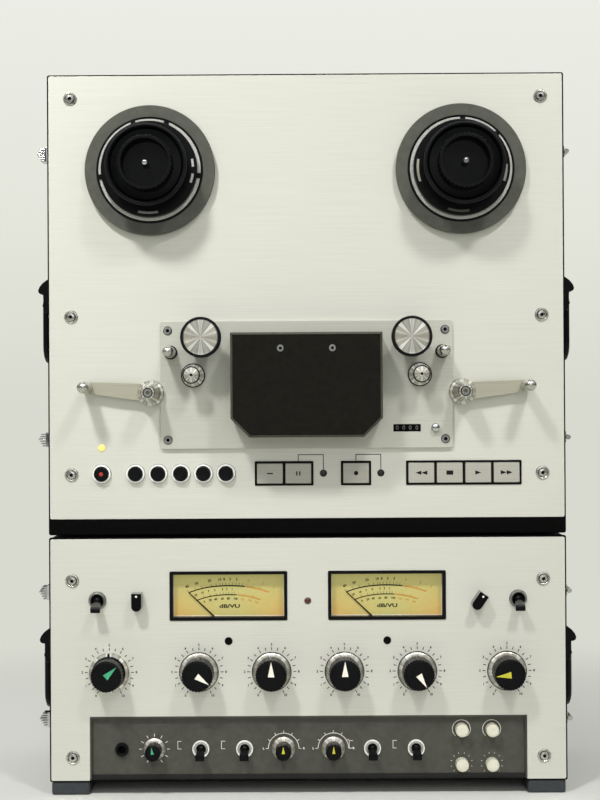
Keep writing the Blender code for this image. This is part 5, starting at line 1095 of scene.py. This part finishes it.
print("scene: knobs")
for x, (name, (turn, colour)) in zip(ampPanel["knobX"], knobMarks.items()):
    shapes = makeBigKnob(colour, name != "playback_knob")
    finishPiece(name.replace("_", "") + "Cap", name, ampBase, placed(shapes, x, ampPanel["knobY"], 0, turn))
finishPiece("playbackRing", "playback_ring", ampBase,
            placed(makePlaybackRing(), ampPanel["knobX"][0], ampPanel["knobY"]))

# Toggles and selectors

# The panel toggles' stems are grey all over as painted sheen; the input toggles' stay black.
panelToggle = {"length": 17.0, "tilt": 25, "root": 3.4, "tip": 4.2, "thick": 4.0, "finish": "paintedLeverSheen"}
inputToggle = {"length": 17.0, "tilt": 18, "root": 3.3, "tip": 4.0, "thick": 4.6, "finish": "plastic"}


def paddle(size, x, y, base):
    length, tilt, root, tip, thick, finish = size.values()
    ball = turned([(0, -4.2), (2.0, -4.0), (3.6, -2.4), (4.35, 0), (4.0, 1.8), (3.0, 3.2), (1.5, 4.2),
                   (0, 4.4)], 40)
    stem = outlineShape([(-1.4, 2), (1.4, 2), (1.4, 5.0), (root, 6.4), (tip, length - 0.6),
                         (-tip, length - 0.6), (-root, 6.4), (-1.4, 5.0)], -1.3, 1.3, 0.3)
    moved(stem, Matrix.Rotation(math.radians(90), 4, "X"))
    end = block((-tip, -thick / 2, length - 4.0), (tip, thick / 2, length), 0.5)
    return placed([(ball, "gloss"), (stem, finish), (end, "plastic")], x, y, base + 0.5, 0, tilt)


selector = {"half": 4.35, "long": 11.0, "high": 13.0, "dotY": 8.6, "dot": 0.9}


def makeSelector(x, turn):
    half, long, high, dotY, radius = selector.values()
    points = halfRound(0, half, 180, 16) + [(half, long), (-half, long)]
    dot = shifted(disc(radius, high - 0.1, high + 0.1, 0.05, 20), 0, dotY)
    top = outlineShape(points, high - 0.7, high, 0.4)
    return placed([(outlineShape(points, 0.6, high - 0.6), "steel"), (top, "gloss"), (dot, "whiteInk")],
                  x, ampPanel["selectorY"], 0, turn)


for name, side in (("playback_head_toggle", -1), ("monitor_toggle", 1)):
    x, y = ampPanel["toggle"]
    finishPiece(name.replace("_", "") + "Lever", name, ampBase, paddle(panelToggle, side * x, y, 0))
for name, x, turn in zip(("equalizer", "meter"), ampPanel["selectorX"], (0, 35)):
    finishPiece(name + "Lever", name + "_selector", ampBase, makeSelector(x, turn))

# Recessed controls

recess = {
    "face": -4.0, "front": -0.3, "thick": 2.0, "half": 190.0, "low": 0.5, "top": 55.4, "rowY": 26.5,
    "jack": -162.8, "phones": -134.4, "pan": 21.7, "toggles": (-93.9, -55.75, 55.75, 93.9),
    "trimmerX": (133.4, 159.8), "trimmerY": (42.8, 12.8),
}
smallKnob = {"radius": 6.85, "flutes": 22, "flute": 0.4, "high": 20.0}
trimmer = {"radius": 5.6, "flutes": 20, "flute": 0.45, "high": 10.0}


def makeRecess():
    face, front, half, row = recess["face"], recess["front"], recess["half"], recess["rowY"]
    low, top, jackX = recess["low"], recess["top"], recess["jack"]
    back = face - recess["thick"]
    floor = block((-half, low, back), (half, top, face), 0.2)
    floor = carved(floor, [shifted(disc(5.8, back - 1, face + 1, 0, 40), jackX, row)])
    shapes = [floor, block((-half, top - 1.5, back), (half, top, front), 0.2)]
    for side in (-1, 1):
        left, right = sorted((side * half, side * (half - 1.2)))
        shapes.append(block((left, low, back), (right, top - 1.6, front), 0.2))
    shapes = [(shape, "charcoal") for shape in shapes]
    jack = turned([(3.4, face - 20), (5.85, face - 20), (5.85, face + 2.4), (5.4, face + 3.0),
                   (3.9, face + 3.0), (3.4, face + 2.5)], 48)
    # the black disc deep in the jack's bore is painted shade
    shapes += placed([(jack, "plastic"), (disc(3.5, face - 12.0, face - 11.0, 0, 24), "gloss")], jackX, row)
    for x in recess["toggles"]:
        collar = fluted(6.4, 28, 0.3, face - 0.1, face + 2.0, 0.4)
        collar = carved(collar, [disc(5.0, face + 0.8, 9, 0, 40)])
        shapes += placed([(ring(7.4, 6.3, face - 0.1, face + 2.4, 0.3, 48), "paintedBrightTrim"),
                          (collar, "nickel")], x, row)
    ink = [ticks(recess["phones"], row, 150, 30, 10.8, 13.4, 0.5, face)]
    for x in (-recess["pan"], recess["pan"]):
        ink += [arcBand(x, row, 13.1, 13.6, -90, 90, face), ticks(x, row, 90, 30, 13.4, 15.6, 0.5, face)]
        ink += [figure(word, 2.6, x + out, row, face + 0.02) for word, out in (("L", -17.6), ("R", 17.6))]
    for x in recess["toggles"]:  # bracket beside each input switch
        for wide, low, high in ((3.0, -0.2, 0.2), (3.0, 6.4, 6.8), (0.4, -0.2, 6.8)):
            left = x - 20.0 if wide > 1 else x - 20.4
            ink.append(block((left, row + low, face - 0.1), (left + wide, row + high, face + 0.06), 0))
    high, low = recess["trimmerY"]
    for x in recess["trimmerX"]:
        ink += [arcBand(x, high, 7.7, 8.1, -140, 140, face), ticks(x, low, 135, 30, 8.6, 9.8, 0.3, face)]
    return shapes + [(shape, "whiteInk") for shape in ink]


def makeSmallKnob(x, skirt, turn, colour):
    face = recess["face"]
    radius, flutes, flute, high = smallKnob.values()
    high += face
    base = turned([(0, face + 0.4), (skirt, face + 0.4), (skirt, face + 0.9), (skirt - 0.5, face + 1.4),
                   (7.2, face + 2.6), (0, face + 2.8)], 80)
    cap = fluted(radius, flutes, flute, face + 2.5, high - 0.7, 0.7)
    crown = turned([(0, high - 1.0), (6.0, high - 1.0), (5.8, high - 0.3), (5.3, high), (0, high)], 48)
    return placed([(base, "skirt"), (cap, "plastic"), (crown, "plastic"), (wedge(6.6, high - 0.2), colour)],
                  x, recess["rowY"], 0, turn)


def makeTrimmer(x, y):
    radius, flutes, flute, high = trimmer.values()
    high += recess["face"]
    cap = fluted(radius, flutes, flute, recess["face"] + 0.4, high - 0.6, 0.5)
    crown = turned([(0, high - 1.0), (radius - 0.7, high - 1.0), (radius - 0.8, high - 0.3),
                    (radius - 1.3, high), (0, high)], 40)
    return placed([(cap, "trimmer"), (crown, "trimmer")], x, y)


print("scene: recessed controls")
finishPiece("controlRecess", "cabinet", ampBase, makeRecess(), "control_chassis")
for number, x in enumerate(recess["toggles"], 1):
    finishPiece(f"input{number}Lever", f"input_{number}_toggle", ampBase,
                paddle(inputToggle, x, recess["rowY"], recess["face"]))
for name, body, x, skirt, turn, colour in (
        ("phonesKnobCap", "phones_knob", recess["phones"], 9.65, -8, "green"),
        ("leftPanCap", "pan_knob_left", -recess["pan"], 10.25, 0, "yellow"),
        ("rightPanCap", "pan_knob_right", recess["pan"], 10.25, 0, "yellow")):
    finishPiece(name, body, ampBase, makeSmallKnob(x, skirt, turn, colour))
for kind, y in zip(("bias", "eq"), recess["trimmerY"]):
    for side, x in zip(("left", "right"), recess["trimmerX"]):
        finishPiece(f"{side}{kind.capitalize()}Trimmer", f"{kind}_trimmer_{side}", ampBase, makeTrimmer(x, y))

print("scene: plain pieces")
plainFinishes = {
    "needle_left": "blackInk", "needle_right": "blackInk", "transport_chassis": "steel", "capstan": "chrome",
    "pinch_arm": "nickel", "pinch_roller": "rubber", "deck_handle_left": "plastic",
    "deck_handle_right": "plastic", "amp_handle_left": "plastic", "amp_handle_right": "plastic",
}
for node, finish in plainFinishes.items():  # their CAD shape stays
    for materialSlot in frame["nodes"][node].material_slots:
        materialSlot.material = finishes[finish]

# Stage, light and camera


def paperSurface(far):  # matt paper that keeps the shadow near the cases and fades out further off
    made = surface("mattStudioPaper", ("#DADBD4", "#DEDFD8"), 0.9, 400, shine=0.1)
    tree = made.node_tree
    coords = addNode(tree, "TexCoord").outputs["Object"]
    reach = addNode(tree, "VectorMath", {"operation": "LENGTH"}, {0: coords})
    fade = addNode(tree, "MapRange", {"interpolation_type": "SMOOTHSTEP", "From Min": 0.3, "From Max": 0.9},
                   {"Value": reach.outputs["Value"]})
    glow = addNode(tree, "Emission", {"Color": linear(far), "Strength": 1.0})
    both = addNode(tree, "MixShader", links={0: fade, 1: tree.nodes["Principled BSDF"], 2: glow})
    feed(tree, tree.nodes["Material Output"], {"Surface": both})
    return made


print("scene: stage")
stage = {
    "floor": 6.0, "far": "#D8DAD0", "ambient": (0.8, 0.55), "roomStrength": 0.7,
    "room": ((0.3, 0.45), (0.46, 0.12), (0.56, 0.12), (0.7, 0.8), (0.9, 1.0)),
    "backdrop": ((0.5, "#D8DAD0"), (0.56, "#E4E5DB"), (0.65, "#EEEFE8")),
}
floorData = bpy.data.meshes.new("studioFloor")
floorShape = bmesh.new()
bmesh.ops.create_grid(floorShape, x_segments=1, y_segments=1, size=stage["floor"])
floorShape.to_mesh(floorData)
floorShape.free()
floor = bpy.data.objects.new("studioFloor", floorData)
floorData.materials.append(paperSurface(stage["far"]))
scene.collection.objects.link(floor)

world = bpy.data.worlds.new("studio")
scene.world = world
world.use_nodes = True
tree = world.node_tree
tree.nodes.clear()
path = addNode(tree, "LightPath").outputs
seen = addNode(tree, "Math", {"operation": "MAXIMUM"},
               {0: path["Is Camera Ray"], 1: path["Is Transmission Ray"]})
aim = addNode(tree, "TexCoord").outputs["Generated"]
apart = addNode(tree, "SeparateXYZ", links={"Vector": aim})
height = addNode(tree, "MapRange", {"From Min": -1.0, "From Max": 1.0}, {"Value": apart.outputs["Z"]})
roomTone = addNode(tree, "ValToRGB", {"stops": [(spot, grey(tone)) for spot, tone in stage["room"]]},
                   {"Fac": height})
backTone = addNode(tree, "ValToRGB", {"stops": [(spot, linear(code)) for spot, code in stage["backdrop"]]},
                   {"Fac": height})
ambient = addNode(tree, "Background", {"Color": grey(stage["ambient"][0]), "Strength": stage["ambient"][1]})
room = addNode(tree, "Background", {"Strength": stage["roomStrength"]}, {"Color": roomTone})
backdrop = addNode(tree, "Background", {"Strength": 1.0}, {"Color": backTone})
lit = addNode(tree, "MixShader", links={0: path["Is Glossy Ray"], 1: ambient, 2: room})
mixed = addNode(tree, "MixShader", links={0: seen, 1: lit, 2: backdrop})
addNode(tree, "OutputWorld", links={"Surface": mixed})

# Each light: its place, what it points at, its side in metres, its power and its spread in degrees
lights = {
    "leftKey": ((-0.62, -1.25, 1.78), (-0.36, -0.08, 0.5), 0.22, 3.0, 56),
    "rightKey": ((0.62, -1.25, 1.78), (0.4, -0.08, 0.5), 0.22, 1.95, 56),
    "lowFill": ((0.0, -1.5, 0.45), (0.0, -0.3, -0.1), 0.8, 0.5, 50),
}
for name, (start, target, side, power, spread) in lights.items():
    lamp = bpy.data.lights.new(name, "AREA")
    lamp.size = side
    lamp.energy = power
    lamp.spread = math.radians(spread)
    holder = bpy.data.objects.new(name, lamp)
    holder.location = start
    holder.rotation_euler = (Vector(target) - Vector(start)).to_track_quat("-Z", "Y").to_euler()
    scene.collection.objects.link(holder)

view = {"lens": 68.2, "sensor": 36.0, "place": (-0.0014, -1.396, 0.3367), "turn": (90.285, 0.32, 0.19)}
camera = bpy.data.cameras.new("photoCamera")
camera.lens = view["lens"]
camera.sensor_width = view["sensor"]
cameraHolder = bpy.data.objects.new("photoCamera", camera)
cameraHolder.location = view["place"]
cameraHolder.rotation_euler = [math.radians(angle) for angle in view["turn"]]
scene.collection.objects.link(cameraHolder)
scene.camera = cameraHolder
scene.view_settings.view_transform = "Standard"

print("scene: finish")
